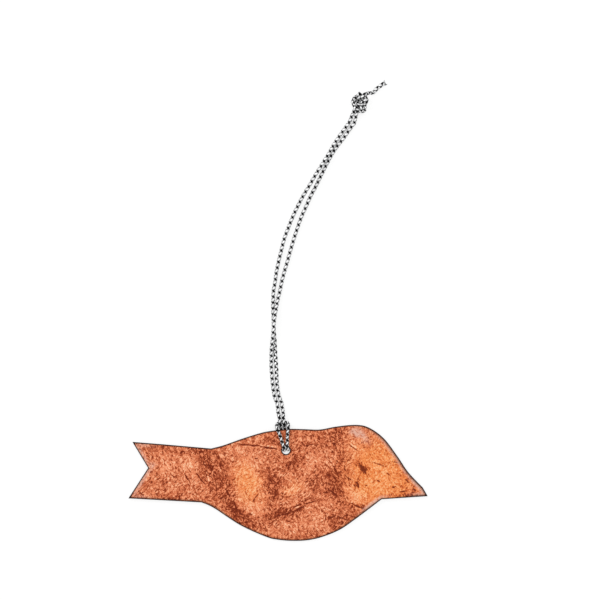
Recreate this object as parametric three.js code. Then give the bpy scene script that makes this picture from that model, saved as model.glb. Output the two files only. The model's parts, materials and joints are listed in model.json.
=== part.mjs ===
// A hanging bird cut from one flat capiz shell, with the metallic braided cord that it hangs by.
// Millimetres, +Z up. The ornament lies on a table, front face up, tail to -X and beak to +X,
// and its cord lies above it towards +Y, as it is laid out to be looked at from above.
import * as THREE from 'three';

// Driving sizes of the shell
const birdLength = 102;
const birdHeight = 39.6;
const shellThickness = 1.0;
const edgeRounding = 0.2;
const holeFromTail = 53.7;
const holeBelowBack = 7.2;

// Driving sizes of the cord
const cordDiameter = 1.5;
const drawnDiameter = 0.8; // where a hitch or knot draws the hollow braid in
const longTail = 4.2; // past the place where the knot is held straight
const shortTailCut = 3.6; // cut off the other tail, back from the same place

// Clearances
const shellClearance = 0.3; // cord to shell
const strandGap = 0.5; // cord to itself where it is drawn in
const laidGap = 0.42; // between strands that lie side by side or across each other
const endGap = 0.3; // between two stretches of cord that meet end to end
const tableGap = 0.04; // under cord that lies on the table

// How the cord is tied
const hitchLean = 8; // degrees that the hitch leans towards the tail
const bridgeSlack = 0.7; // room between the shell's top edge and the cord that goes over it
const hitchReach = 14.5; // hole centre to the fold line above the hitch
const knotTurn = 54; // degrees from +X to the line of the knot
const knotReach = 5.5; // half the length of cord that holds the knot, in spacings of the drawn strands
const exitShift = 0.96; // how far left of the incoming strands the tails leave the knot
const knotLength = 26; // cord in the knot, per strand, in the same spacings

// How finely round forms are cut
const outlineSteps = 10; // per stretch of the outline
const cordSides = 8;
const fineStep = 0.62; // along cord that is hitched or knotted
const laidStep = 3.4; // along the free strands
const gapStep = 0.2; // between the points on which gaps are measured
const windingSamples = 200;

const laidRadius = cordDiameter / 2;
const laidSpacing = cordDiameter + laidGap;
const drawnRadius = drawnDiameter / 2;
const drawnSpacing = drawnDiameter + strandGap;
const holeDiameter = drawnSpacing + drawnDiameter + 2 * shellClearance; // two drawn strands side by side

const shellMaterial = new THREE.MeshStandardMaterial({ color: 0xc4673c, roughness: 0.34, metalness: 0 });
const cordMaterial = new THREE.MeshStandardMaterial({ color: 0xb9bab8, roughness: 0.38, metalness: 0.75 });

// The bird's outline, as shares of its length and height from the tail's lower tip
// Each stretch between two corners is one smooth run of points.
const outlineRuns = {
  backAndHead: [
    [0.276, 0.796], [0.318, 0.824], [0.376, 0.877], [0.439, 0.928], [0.477, 0.948], [0.536, 0.965],
    [0.587, 0.963], [0.640, 0.960], [0.694, 0.985], [0.759, 1.0], [0.803, 0.977], [0.853, 0.885],
    [0.899, 0.730], [0.935, 0.593], [0.984, 0.459],
  ],
  throatAndBelly: [
    [0.846, 0.359], [0.794, 0.256], [0.755, 0.181], [0.707, 0.097], [0.650, 0.036], [0.600, 0.006],
    [0.547, 0.0], [0.497, 0.011], [0.458, 0.037], [0.373, 0.137], [0.285, 0.285], [0.244, 0.332],
  ],
};
const beakTip = [1.0, 0.386];
const tailLowerTip = [0, 0.367];
const tailNotch = [0.066, 0.629];
const tailUpperTip = [0.014, 0.853];
const tailUpperMiddle = [0.122, 0.831];

function birdShape() {
  const at = ([along, up]) => new THREE.Vector2(
    along * birdLength - holeFromTail,
    (up - 1) * birdHeight,
  );
  const shape = new THREE.Shape();
  const start = at(tailUpperTip);
  shape.moveTo(start.x, start.y);
  shape.splineThru([at(tailUpperMiddle), at(outlineRuns.backAndHead[0])]);
  shape.splineThru(outlineRuns.backAndHead.slice(1).map(at));
  for (const corner of [beakTip, outlineRuns.throatAndBelly[0]]) {
    const point = at(corner);
    shape.lineTo(point.x, point.y);
  }
  shape.splineThru(outlineRuns.throatAndBelly.slice(1).map(at));
  for (const corner of [tailLowerTip, tailNotch, tailUpperTip]) {
    const point = at(corner);
    shape.lineTo(point.x, point.y);
  }
  return shape;
}

// Height of an outline's upper edge at one place along the bird
function upperEdge(points, x) {
  let highest = -Infinity;
  points.forEach((from, i) => {
    const to = points[(i + 1) % points.length];
    if ((from.x - x) * (to.x - x) <= 0 && from.x !== to.x) {
      const share = (x - from.x) / (to.x - from.x);
      highest = Math.max(highest, from.y + share * (to.y - from.y));
    }
  });
  return highest;
}

// The shell: cut outline, drilled hole and edges ground slightly round.
// Its geometry's origin is the hole's centre at the middle of the thickness.
function makeShell() {
  const shape = birdShape();
  const rim = shape.getPoints(outlineSteps);
  const holeY = upperEdge(rim, 0) - holeBelowBack;
  const hole = new THREE.Path();
  hole.absarc(0, holeY, holeDiameter / 2, 0, 2 * Math.PI);
  shape.holes.push(hole);
  const geometry = new THREE.ExtrudeGeometry(shape, {
    depth: shellThickness - 2 * edgeRounding,
    bevelEnabled: true,
    bevelThickness: edgeRounding,
    bevelSize: edgeRounding,
    bevelOffset: -edgeRounding,
    bevelSegments: 2,
    curveSegments: outlineSteps,
  });
  geometry.translate(0, -holeY, edgeRounding - shellThickness / 2);
  const mesh = new THREE.Mesh(geometry, shellMaterial);
  mesh.name = 'capiz_bird';
  const outline = rim.map((point) => new THREE.Vector2(point.x, point.y - holeY));
  return { mesh, outline };
}

// A closed tube along a curve, with a radius of its own at each share of the way
function taperedTube(curve, step, radiusAt) {
  const steps = Math.ceil(curve.getLength() / step);
  const frames = curve.computeFrenetFrames(steps, false);
  const positions = [];
  const index = [];
  for (let i = 0; i <= steps; i += 1) {
    const centre = curve.getPointAt(i / steps);
    const radius = radiusAt(i / steps);
    for (let side = 0; side < cordSides; side += 1) {
      const angle = (2 * Math.PI * side) / cordSides;
      const point = centre.clone()
        .addScaledVector(frames.normals[i], radius * Math.cos(angle))
        .addScaledVector(frames.binormals[i], radius * Math.sin(angle));
      positions.push(point.x, point.y, point.z);
    }
  }
  for (let i = 0; i < steps; i += 1) {
    for (let side = 0; side < cordSides; side += 1) {
      const a = i * cordSides + side;
      const b = i * cordSides + ((side + 1) % cordSides);
      index.push(a, b, b + cordSides);
      index.push(a, b + cordSides, a + cordSides);
    }
  }
  const last = steps * cordSides;
  for (let side = 1; side + 1 < cordSides; side += 1) {
    index.push(0, side + 1, side);
    index.push(last, last + side, last + side + 1);
  }
  const geometry = new THREE.BufferGeometry();
  geometry.setAttribute('position', new THREE.Float32BufferAttribute(positions, 3));
  geometry.setIndex(index);
  geometry.computeVertexNormals();
  return geometry;
}

// Least gap between the surfaces of some tubes, each also to itself where its own bends bring it near
function leastGap(tubes) {
  const beads = tubes.flatMap(({ curve, radiusAt }, tube) => {
    const length = curve.getLength();
    const count = Math.ceil(length / gapStep);
    return curve.getSpacedPoints(count).map((point, i) => (
      { point, tube, along: (i / count) * length, radius: radiusAt(i / count) }
    ));
  });
  let least = Infinity;
  beads.forEach((a, i) => {
    for (const b of beads.slice(i + 1)) {
      const touching = a.tube === b.tube && Math.abs(a.along - b.along) < Math.PI * (a.radius + b.radius);
      if (!touching) least = Math.min(least, a.point.distanceTo(b.point) - a.radius - b.radius);
    }
  });
  return least;
}

function smoothCurve(points) {
  return new THREE.CatmullRomCurve3(points, false, 'centripetal');
}

// Radius of the cord at a length along a stretch: full until `full`, drawn in from `drawn` onwards
function easedRadius(along, full, drawn) {
  const share = THREE.MathUtils.smoothstep(along, full, drawn);
  return THREE.MathUtils.lerp(cordDiameter, drawnDiameter, share) / 2;
}


// The hitch is a bight pushed through the hole from behind: its two legs go up the front face and over
// the top edge, and join behind the two standing strands, which come up the back and through the bight.
// Half of it is given here, from the hole outwards; the other half is its mirror image.
// Its bends are shaped in spacings of the drawn strands, so they keep their gaps when the cord changes.
const skin = shellThickness / 2 + shellClearance + drawnRadius;
const turnHeight = 0.1; // lowest point of the turn through the hole, above the hole's centre

function hitchHalf(edge) {
  const strandX = drawnSpacing / 2;
  const legX = 1.5 * drawnSpacing;
  const overEdge = edge + bridgeSlack + drawnRadius;
  const barY = overEdge + 0.88 * drawnSpacing;
  const barZ = -skin - 0.13 * drawnSpacing;
  const turnTop = turnHeight + skin;
  const halfWay = (edge + turnTop) / 2;
  const at = (x, [y, stepsUp], [z, stepsOut]) => [x, y + stepsUp * drawnSpacing, z + stepsOut * drawnSpacing];
  const standing = [
    at((strandX + laidSpacing / 2) / 2, [barY, 2.1], [barZ, 0.32]),
    at(strandX, [barY, 1.1], [barZ, 0.85]),
    at(strandX, [barY, 0], [barZ, 1.08]),
    at(strandX, [barY, -0.55], [barZ, 1.02]),
    at(strandX, [edge, 0.66], [-skin, 0.26]),
    at(strandX, [edge, -0.3], [-skin, -0.05]),
    at(strandX, [halfWay, 0], [-skin, 0]),
  ];
  const turn = [];
  for (let degrees = -90; degrees <= 90; degrees += 30) {
    const angle = THREE.MathUtils.degToRad(degrees);
    turn.push([strandX, turnTop - skin * Math.cos(angle), skin * Math.sin(angle)]);
  }
  const leg = [
    at(THREE.MathUtils.lerp(strandX, legX, 0.35), [halfWay, 0], [skin, 0]),
    at(THREE.MathUtils.lerp(strandX, legX, 0.72), [edge, -0.46], [skin, 0.02]),
    at(legX, [edge, 0.35], [skin, -0.12]),
    at(legX, [overEdge, 0.09], [0, 0.19]),
    at(legX, [overEdge, 0.35], [0, -0.55]),
    at(legX - 0.46 * drawnSpacing, [barY, -0.11], [barZ, 0.15]),
    at(strandX, [barY, 0], [barZ, 0.01]),
  ];
  return { standing, turn, leg, bar: [0, barY, barZ] };
}

// Knot: the doubled cord laid loosely in an overhand, in spacings of the drawn strands, then drawn tight
const looseKnot = [
  [-14, 0, 0], [-9, 0, 0], [-4, 0, 0], [-1.4, 0, 1.0], [1.4, 0, 1.8], [5, 0.6, 1.0], [8, 3.5, 0],
  [6.5, 7, 0], [2, 9, 0.6], [-2.6, 6.8, 1.6], [-4.6, 3, 1.9], [-4.2, 0, 1.8], [-2, -3.6, 0.7],
  [0.6, -3.4, 0], [1.6, 0, 0], [3, 4, 0.9], [6.5, 7, 1.8], [10, 7.5, 1], [12.5, 3.5, 0], [14, 0.3, 0],
];
const looseReach = 14;
const knotBeads = 80; // points along each strand
const tightening = { rounds: 1200, passes: 4, drawnBy: 0.6, firmFrom: 0.8, firmPasses: 3 };
const bendBeads = 4; // points over which the cord resists bending
const leastBend = 0.8; // tightest bend, in spacings
const selfReach = 1.8; // cord nearer along itself than this, in spacings, isn't tested for touching
const sinking = 0.0005; // how far each pass lets the knot settle towards the table
const heldBeads = 3; // points at each end that are held straight

// Step that brings one point towards another until they lie `wanted` apart, times `share`
function settle(from, to, wanted, share) {
  const step = new THREE.Vector3().subVectors(to, from);
  const length = step.length();
  return step.multiplyScalar((share * (length - wanted)) / length);
}

function tieKnot() {
  const spacing = drawnSpacing;
  const loose = smoothCurve(looseKnot.map((p) => new THREE.Vector3(...p).multiplyScalar(spacing)));
  const centre = loose.getSpacedPoints(knotBeads - 1);
  const strands = [0.5, -0.5].map((side) => centre.map((point, i) => {
    const tangent = loose.getTangentAt(i / (knotBeads - 1));
    const across = new THREE.Vector3(-tangent.y, tangent.x, 0).normalize();
    return point.clone().addScaledVector(across, side * spacing);
  }));
  const beads = strands.flat();
  const looseStep = loose.getLength() / (knotBeads - 1);
  const tightStep = (knotLength * spacing) / (knotBeads - 1);
  const floor = drawnRadius - laidRadius - tableGap / 2;

  const holdEnds = (step, reach) => strands.forEach((strand, n) => {
    const across = (n === 0 ? 0.5 : -0.5) * laidSpacing;
    for (let i = 0; i < heldBeads; i += 1) {
      strand[i].set(i * step - reach, across, 0);
      strand[knotBeads - 1 - i].set(reach - i * step, across + exitShift, 0);
    }
  });

  const keepLength = (strand, step) => {
    for (const first of [0, 1]) {
      for (let i = first; i + 1 < knotBeads; i += 2) {
        const move = settle(strand[i], strand[i + 1], step, 0.5);
        strand[i].add(move);
        strand[i + 1].sub(move);
      }
    }
  };

  const resistBending = (strand, step) => {
    const radius = leastBend * spacing;
    const chord = 2 * radius * Math.sin(Math.min(Math.PI / 2, (bendBeads * step) / (2 * radius)));
    for (let i = 0; i + bendBeads < knotBeads; i += 1) {
      if (strand[i].distanceTo(strand[i + bendBeads]) < chord) {
        const move = settle(strand[i], strand[i + bendBeads], chord, 0.1);
        strand[i].add(move);
        strand[i + bendBeads].sub(move);
      }
    }
  };

  const pushApart = (step) => {
    const skip = Math.ceil((selfReach * spacing) / step);
    const pushes = beads.map(() => new THREE.Vector3());
    const touches = new Array(beads.length).fill(0);
    for (let i = 0; i < beads.length; i += 1) {
      for (let j = i + 1; j < beads.length; j += 1) {
        const sameStrand = (i < knotBeads) === (j < knotBeads);
        const apart = !(sameStrand && j - i < skip);
        if (apart && beads[i].distanceToSquared(beads[j]) < spacing * spacing) {
          const move = settle(beads[i], beads[j], spacing, 0.5);
          pushes[i].add(move);
          pushes[j].sub(move);
          touches[i] += 1;
          touches[j] += 1;
        }
      }
    }
    beads.forEach((bead, i) => {
      if (touches[i] > 0) bead.addScaledVector(pushes[i], 1 / Math.max(1, touches[i] * 0.5));
    });
  };

  for (let round = 0; round < tightening.rounds; round += 1) {
    const drawn = Math.min(1, round / (tightening.rounds * tightening.drawnBy));
    const step = THREE.MathUtils.lerp(looseStep, tightStep, drawn);
    const reach = THREE.MathUtils.lerp(looseReach, knotReach, drawn) * spacing;
    const firm = round > tightening.rounds * tightening.firmFrom;
    for (let pass = 0; pass < tightening.passes; pass += 1) {
      for (const strand of strands) {
        keepLength(strand, step);
        resistBending(strand, step);
      }
      holdEnds(step, reach);
      for (let n = 0; n < (firm ? tightening.firmPasses : 1); n += 1) pushApart(step);
      for (const bead of beads) bead.z = Math.max(floor, bead.z - sinking);
    }
    holdEnds(step, reach);
  }
  return strands;
}

// Where the free strands lie, chosen by eye: along +X and +Y from the fold line above the hitch, and a level,
// 0 on the table and 1 on top of the other strand. The left one at the hitch crosses over the other,
// and further up the other one rests on it.
const leftRoute = [
    [-2.1, 4.0, 0], [-2.7, 7.4, 0], [-3.0, 10.8, 0], [-3.2, 13.9, 0.06], [-3.2, 17.0, 0.36],
    [-3.1, 19.7, 0.72], [-2.8, 22.1, 0.95], [-2.5, 24.5, 1.04], [-2.2, 27.2, 1.06], [-1.9, 29.9, 1.04],
    [-1.5, 32.3, 0.9], [-0.9, 35.4, 0.46], [-0.3, 38.1, 0.1], [0.3, 41.1, 0], [1.1, 45.1, 0],
    [2.3, 49.3, 0], [3.4, 53.2, 0], [4.6, 57.3, 0], [5.9, 61.3, 0], [7.3, 65.2, 0], [9.0, 69.0, 0],
    [10.6, 72.6, 0], [12.2, 75.6, 0], [13.8, 78.9, 0], [15.5, 82.3, 0], [17.4, 85.7, 0], [19.5, 89.0, 0],
    [21.8, 91.8, 0],
];
const rightRoute = [
    [-0.1, 3.9, 0], [-0.6, 6.7, 0], [-0.9, 9.8, 0], [-1.0, 12.9, 0], [-1.2, 15.6, 0], [-1.4, 18.3, 0],
    [-1.6, 21.0, 0], [-1.8, 23.8, 0], [-2.1, 26.8, 0], [-2.3, 29.9, 0], [-2.5, 33.0, 0], [-2.6, 36.1, 0],
    [-2.4, 39.5, 0], [-1.8, 42.9, 0], [-1.2, 46.6, 0], [-0.4, 50.4, 0], [0.4, 53.6, 0], [1.4, 57.6, 0],
    [2.9, 61.7, 0], [4.4, 65.4, 0], [6.2, 69.2, 0.15], [8.1, 72.7, 0.6], [10.0, 75.8, 0.95],
    [11.9, 79.1, 1.05], [14.0, 82.5, 1.05], [16.0, 85.9, 0.95], [17.8, 89.1, 0.6], [19.9, 92.6, 0.25],
];
const knotPlace = [27.3, 103.6]; // middle of the knot, from the fold line
const knotMiddle = [0.3, 1.4]; // the same middle, in the knot's own frame
const tailRun = [[0.34, -0.06], [0.67, -0.16], [0.96, -0.28]]; // the long tail's run, as shares of its length

const ornament = new THREE.Group();

// The shell lies with its belly on the table and its top edge on the cord that passes behind it
const shell = makeShell();
const tilted = new THREE.Group();
tilted.add(shell.mesh);
const leaning = new THREE.Group();
leaning.rotation.z = THREE.MathUtils.degToRad(hitchLean);
tilted.add(leaning);
ornament.add(tilted);

// Distance from the hole's centre to the shell's edge, measured along the leaning hitch
const lean = THREE.MathUtils.degToRad(hitchLean);
const edgeInHitch = shell.outline.map((p) => p.clone().rotateAround(new THREE.Vector2(), -lean));
const edge = Math.max(...[-1, 0, 1].map((side) => upperEdge(edgeInHitch, side * drawnSpacing * 1.5)));
const half = hitchHalf(edge);

// The tilt lets the lowest cord behind the shell just touch the table
const belly = Math.min(...shell.outline.map((p) => p.y)) + edgeRounding;
const woundPoints = [...half.standing.slice(2), ...half.turn, ...half.leg, half.bar];
const woundCurve = smoothCurve(woundPoints.map((p) => new THREE.Vector3(...p)));
const tilt = Math.max(...woundCurve.getSpacedPoints(windingSamples).flatMap(({ x, y, z }) => (
  [-x, x].map((across) => {
    const up = y * Math.cos(lean) + across * Math.sin(lean);
    return Math.atan2(drawnRadius - shellThickness / 2 - z, up - belly);
  })
)));
tilted.rotation.x = tilt;
tilted.position.z = (shellThickness / 2) * Math.cos(tilt) - belly * Math.sin(tilt);
ornament.updateMatrixWorld(true);

// Fold line above the hitch, on the table
const hitchDirection = new THREE.Vector3(-Math.sin(lean), Math.cos(lean), 0);
const hitchAcross = new THREE.Vector3(Math.cos(lean), Math.sin(lean), 0);
const holeCentre = tilted.position.clone();
const fold = holeCentre.clone().addScaledVector(hitchDirection, hitchReach).setZ(laidRadius + tableGap);

// One unbroken tube: up the back, through the bight, down through the hole and round
function hitchPoints() {
  const toLocal = (point) => leaning.worldToLocal(point);
  const halfPath = (side) => {
    const mirrored = (list) => list.map(([x, y, z]) => new THREE.Vector3(side * x, y, z));
    const end = fold.clone()
      .addScaledVector(hitchAcross, (side * laidSpacing) / 2)
      .addScaledVector(hitchDirection, -endGap / 2);
    const lead = end.clone().addScaledVector(hitchDirection, -0.8 * cordDiameter);
    return [
      toLocal(end),
      toLocal(lead),
      ...mirrored(half.standing),
      ...mirrored(half.turn),
      ...mirrored(half.leg),
    ];
  };
  return [...halfPath(-1), new THREE.Vector3(...half.bar), ...halfPath(1).reverse()];
}
const hitchCurve = smoothCurve(hitchPoints());
const hitchLength = hitchCurve.getLength();
const hitchRadius = (share) => {
  const fromEnd = Math.min(share, 1 - share) * hitchLength;
  return easedRadius(fromEnd, 0.2 * cordDiameter, 1.9 * cordDiameter);
};
const hitch = new THREE.Mesh(taperedTube(hitchCurve, fineStep, hitchRadius), cordMaterial);
hitch.name = 'cord_hitch';
leaning.add(hitch);

// The knot lies on the table in a turned frame of its own
const cordLoop = new THREE.Group();
cordLoop.position.copy(fold);
ornament.add(cordLoop);
const knotFrame = new THREE.Group();
const knotAngle = THREE.MathUtils.degToRad(knotTurn);
knotFrame.rotation.z = knotAngle;
const knotOffset = new THREE.Vector3(...knotMiddle, 0).applyAxisAngle(new THREE.Vector3(0, 0, 1), knotAngle);
knotFrame.position.set(knotPlace[0] - knotOffset.x, knotPlace[1] - knotOffset.y, 0);
cordLoop.add(knotFrame);
ornament.updateMatrixWorld(true);

const knotEnd = knotReach * drawnSpacing;

function knotTube(strand, extra, cut, name) {
  const lastInside = strand.findLastIndex((point) => point.x < cut);
  const kept = strand.slice(0, lastInside + 1);
  const held = smoothCurve(kept).getLength();
  const curve = smoothCurve([...kept, ...extra]);
  const length = curve.getLength();
  const radiusAt = (share) => {
    const along = share * length;
    const entering = easedRadius(along, 0.3 * cordDiameter, 1.8 * cordDiameter);
    const leaving = easedRadius(held - along, 0, 1.6 * cordDiameter);
    return Math.max(entering, extra.length > 0 ? leaving : drawnRadius);
  };
  const mesh = new THREE.Mesh(taperedTube(curve, fineStep, radiusAt), cordMaterial);
  mesh.name = name;
  knotFrame.add(mesh);
  return { curve, radiusAt };
}
const [shortStrand, longStrand] = tieKnot();
const tailPoints = tailRun.map(([along, aside]) => (
  new THREE.Vector3(along * longTail, aside * longTail, 0).add(longStrand[knotBeads - 1])
));
const shortTube = knotTube(shortStrand, [], knotEnd - shortTailCut, 'cord_knot_short_tail');
const longTube = knotTube(longStrand, tailPoints, Infinity, 'cord_knot_long_tail');

// The two free strands, from the fold line to the knot
function freeStrand(route, side, name) {
  const start = new THREE.Vector3()
    .addScaledVector(hitchAcross, (side * laidSpacing) / 2)
    .addScaledVector(hitchDirection, endGap / 2);
  const startLead = start.clone().addScaledVector(hitchDirection, cordDiameter);
  const end = new THREE.Vector3(-knotEnd - endGap, (side * laidSpacing) / 2, 0);
  const endLead = end.clone().setX(end.x - cordDiameter);
  for (const point of [end, endLead]) {
    point.applyAxisAngle(new THREE.Vector3(0, 0, 1), knotAngle).add(knotFrame.position);
  }
  const laid = route.map(([x, y, level]) => new THREE.Vector3(x, y, level * laidSpacing));
  const curve = smoothCurve([start, startLead, ...laid, endLead, end]);
  const section = new THREE.Shape();
  section.absarc(0, 0, laidRadius, 0, 2 * Math.PI);
  const geometry = new THREE.ExtrudeGeometry(section, {
    steps: Math.ceil(curve.getLength() / laidStep),
    bevelEnabled: false,
    extrudePath: curve,
    curveSegments: cordSides / 2,
  });
  const mesh = new THREE.Mesh(geometry, cordMaterial);
  mesh.name = name;
  cordLoop.add(mesh);
  return { curve, radiusAt: () => laidRadius };
}
const leftTube = freeStrand(leftRoute, -1, 'cord_left_strand');
const rightTube = freeStrand(rightRoute, 1, 'cord_right_strand');

// Origin: under the middle of the shell's own box, on the table
ornament.updateMatrixWorld(true);
const shellBox = new THREE.Box3().setFromObject(shell.mesh, true);
const middle = shellBox.getCenter(new THREE.Vector3());
ornament.position.set(-middle.x, -middle.y, 0);
ornament.updateMatrixWorld(true);

// Least gaps of the cord, measured on points along it
const hitchTube = { curve: hitchCurve, radiusAt: hitchRadius };
const cordGaps = {
  'the hitch and itself': [hitchTube],
  'the short-tailed strand in the knot and itself': [shortTube],
  'the long-tailed strand in the knot and itself': [longTube],
  'the two strands in the knot': [shortTube, longTube],
  'the two free strands': [leftTube, rightTube],
};
for (const [between, tubes] of Object.entries(cordGaps)) {
  console.log(`least gap between ${between}: ${leastGap(tubes).toFixed(3)} mm`);
}
const allCord = [hitchTube, shortTube, longTube, leftTube, rightTube];
const cordLength = allCord.reduce((sum, { curve }) => sum + curve.getLength(), 0);
const tiltDegrees = THREE.MathUtils.radToDeg(tilt);
console.log(`cord in all: ${cordLength.toFixed(0)} mm; shell tilted ${tiltDegrees.toFixed(3)} degrees`);

export default ornament;
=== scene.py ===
# %% [markdown]
# # A hanging bird cut from capiz shell
# The real object is two things only: one flat bird cut from a thin, dyed capiz shell, and one piece of
# silver braided cord. The cord is hitched through a hole in the bird's back and its ends are tied together,
# so that the bird hangs by it. Here it lies on a table, seen from straight above.
#
# The solids come in as a fixed frame. Blender adds what they leave out: the braid of the cord, the
# shell's worn surface and its colours.

# %% The solids, as they were packed
import json

import bmesh
import bpy
import numpy as np
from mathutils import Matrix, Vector, geometry, noise


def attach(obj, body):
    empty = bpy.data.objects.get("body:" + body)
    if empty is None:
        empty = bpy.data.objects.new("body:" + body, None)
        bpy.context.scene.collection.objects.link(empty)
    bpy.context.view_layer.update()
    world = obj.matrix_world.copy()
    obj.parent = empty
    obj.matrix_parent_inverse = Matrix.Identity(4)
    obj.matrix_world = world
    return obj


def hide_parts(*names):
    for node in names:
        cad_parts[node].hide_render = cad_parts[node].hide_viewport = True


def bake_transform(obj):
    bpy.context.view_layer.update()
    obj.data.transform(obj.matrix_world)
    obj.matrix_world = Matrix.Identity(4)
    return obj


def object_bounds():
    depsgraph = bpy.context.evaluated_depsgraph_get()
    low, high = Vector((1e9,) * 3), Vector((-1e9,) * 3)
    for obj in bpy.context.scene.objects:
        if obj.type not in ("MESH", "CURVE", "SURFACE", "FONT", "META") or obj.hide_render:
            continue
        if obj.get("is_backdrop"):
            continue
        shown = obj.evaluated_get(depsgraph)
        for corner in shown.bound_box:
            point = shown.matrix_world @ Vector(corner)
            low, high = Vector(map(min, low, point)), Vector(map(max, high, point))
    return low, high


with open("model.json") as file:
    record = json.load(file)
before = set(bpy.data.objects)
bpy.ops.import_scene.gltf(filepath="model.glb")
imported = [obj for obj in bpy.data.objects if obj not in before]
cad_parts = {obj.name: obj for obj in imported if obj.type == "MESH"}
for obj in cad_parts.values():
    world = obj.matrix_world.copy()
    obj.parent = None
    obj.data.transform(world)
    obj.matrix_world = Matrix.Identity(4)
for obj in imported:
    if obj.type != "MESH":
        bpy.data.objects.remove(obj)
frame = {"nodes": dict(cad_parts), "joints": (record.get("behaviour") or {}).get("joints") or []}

solids_box = [list(corner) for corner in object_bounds()]
print("solids:", ", ".join(frame["nodes"]))

# %% [markdown]
# ## The camera
# The picture was taken from straight above, so the camera hangs over the table and looks down. A long lens
# from one metre up keeps the flat bird undistorted. Its focal length follows from how wide a strip of the
# table the picture shows: focal length / sensor width = height / strip. The strip's width and its middle
# were measured on the photograph, at the bird's real length.

# %% Camera straight above the table
MM = 0.001
seen_width = 205.1 * MM
seen_middle = (7.66 * MM, 62.34 * MM)
camera_height = 1.0

scene = bpy.context.scene
scene.view_settings.view_transform = "Standard"
lens = bpy.data.cameras.new("overhead_camera")
lens.sensor_width = 36
lens.lens = lens.sensor_width * camera_height / seen_width
camera = bpy.data.objects.new("overhead_camera", lens)
camera.location = (*seen_middle, camera_height)
scene.collection.objects.link(camera)
scene.camera = camera
print(f"camera: {lens.lens:.0f} mm lens at {camera_height} m")

# %% [markdown]
# ## Where the bird is cut and drilled
# The cord goes through the bird's hole and over its top edge, so its shape depends on both. The joints of the
# frame give the hole's centre and the line where the cord folds. The outline is read off a merged copy of the
# bird's solid: its edges that lie where the side wall meets the rounding.

# %% Hole, fold line and outline
joints = {joint["name"]: joint for joint in frame["joints"]}
hole_centre = np.array(joints["bird_swing"]["pos_m"])
shell_normal = np.array(joints["bird_swing"]["axis"])
shell_along = np.array([1.0, 0, 0])
shell_up = np.cross(shell_normal, shell_along)
shell_thickness = 1.0 * MM
edge_rounding = 0.2 * MM


def outline_loops():
    """The shell's outline and its hole, in its own plane, as points measured from the hole's centre."""
    merged = bmesh.new()
    merged.from_mesh(frame["nodes"]["capiz_bird"].data)
    bmesh.ops.remove_doubles(merged, verts=merged.verts, dist=1e-6)
    layer = shell_thickness / 2 - edge_rounding
    flat, beside = {}, {}
    for vert in merged.verts:
        offset = np.array(vert.co) - hole_centre
        if abs(offset @ shell_normal - layer) < 1e-5:
            flat[vert.index] = (offset @ shell_along, offset @ shell_up)
            beside[vert.index] = []
    for a, b in ([vert.index for vert in edge.verts] for edge in merged.edges):
        if a in flat and b in flat:
            beside[a].append(b)
            beside[b].append(a)
    merged.free()
    loops = []
    while beside:
        before, here = None, next(iter(beside))
        loop = [here]
        while True:
            following = [other for other in beside[here] if other != before]
            before, here = here, following[0]
            if here == loop[0]:
                break
            loop.append(here)
        loops.append(np.array([flat[i] for i in loop]))
        for i in loop:
            del beside[i]
    return sorted(loops, key=len, reverse=True)


outline, hole_rim = outline_loops()
print(f"outline: {len(outline)} points, {np.ptp(outline[:, 0]) / MM:.1f} mm long; "
      f"hole: {np.ptp(hole_rim[:, 0]) / MM:.2f} mm across")

# %% [markdown]
# ## Smooth lines
# A cord is limp and springy, so its line never has a corner. A centripetal Catmull-Rom curve passes through
# each chosen point without overshooting between them. It is sampled at equal steps, because the braid needs
# an even length along the cord.

# %% A smooth line through chosen points
def smooth(points, shares):
    """Places on the smooth line through the points, at shares of its run from point to point."""
    points = np.asarray(points, float)
    padded = np.vstack([2 * points[0] - points[1], points, 2 * points[-1] - points[-2]])
    run = np.asarray(shares) * (len(points) - 1)
    first = np.minimum(run.astype(int), len(points) - 2)
    p0, p1, p2, p3 = (padded[first + k] for k in range(4))
    d0, d1, d2 = (np.linalg.norm(b - a, axis=1, keepdims=True) ** 0.5
                  for a, b in ((p0, p1), (p1, p2), (p2, p3)))
    leaving = ((p1 - p0) / d0 - (p2 - p0) / (d0 + d1) + (p2 - p1) / d1) * d1
    arriving = ((p2 - p1) / d1 - (p3 - p1) / (d1 + d2) + (p3 - p2) / d2) * d1
    w = (run - first)[:, None]
    return (p1 + leaving * w + (3 * (p2 - p1) - 2 * leaving - arriving) * w**2
            + (2 * (p1 - p2) + leaving + arriving) * w**3)


def lengths_along(line):
    """Length from the start of a line to each of its points."""
    return np.concatenate([[0], np.cumsum(np.linalg.norm(np.diff(line, axis=0), axis=1))])


def even_shares(points, count, divisions):
    """Shares of the run at which the line's own length is divided evenly."""
    run = np.linspace(0, 1, divisions + 1)
    along = lengths_along(smooth(points, run))
    return np.interp(np.linspace(0, along[-1], count), along, run)


def even_line(points, step):
    """The smooth line as points a step apart."""
    divisions = 60 * len(points)
    length = lengths_along(smooth(points, np.linspace(0, 1, divisions + 1)))[-1]
    return smooth(points, even_shares(points, round(length / step) + 1, divisions))


# %% [markdown]
# ## The cord's sizes
# The photograph shows a cord about 1.5 mm thick. Where it is hitched and knotted the hollow braid draws in,
# so its strands lie closer there. All of it is one cord, about 335 mm from end to end, described in five
# stretches: the hitch, two free strands, and the two strands of the knot with their tails.

# %% Sizes of the cord
cord_diameter = 1.5 * MM
drawn_diameter = 0.8 * MM  # as the solids have it, where the braid is drawn in
laid_spacing = 1.92 * MM  # between free strands that lie side by side
drawn_spacing = 1.3 * MM  # between strands that are hitched or knotted
shell_clearance = 0.3 * MM
end_gap = 0.3 * MM  # between stretches of the solids
table_gap = 0.04 * MM
lean = np.radians(8)
across = np.array([np.cos(lean), np.sin(lean), 0])
hitch_direction = np.array([-np.sin(lean), np.cos(lean), 0])
fold = np.array([*joints["cord_fold"]["pos_m"][:2], cord_diameter / 2 + table_gap])

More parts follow.
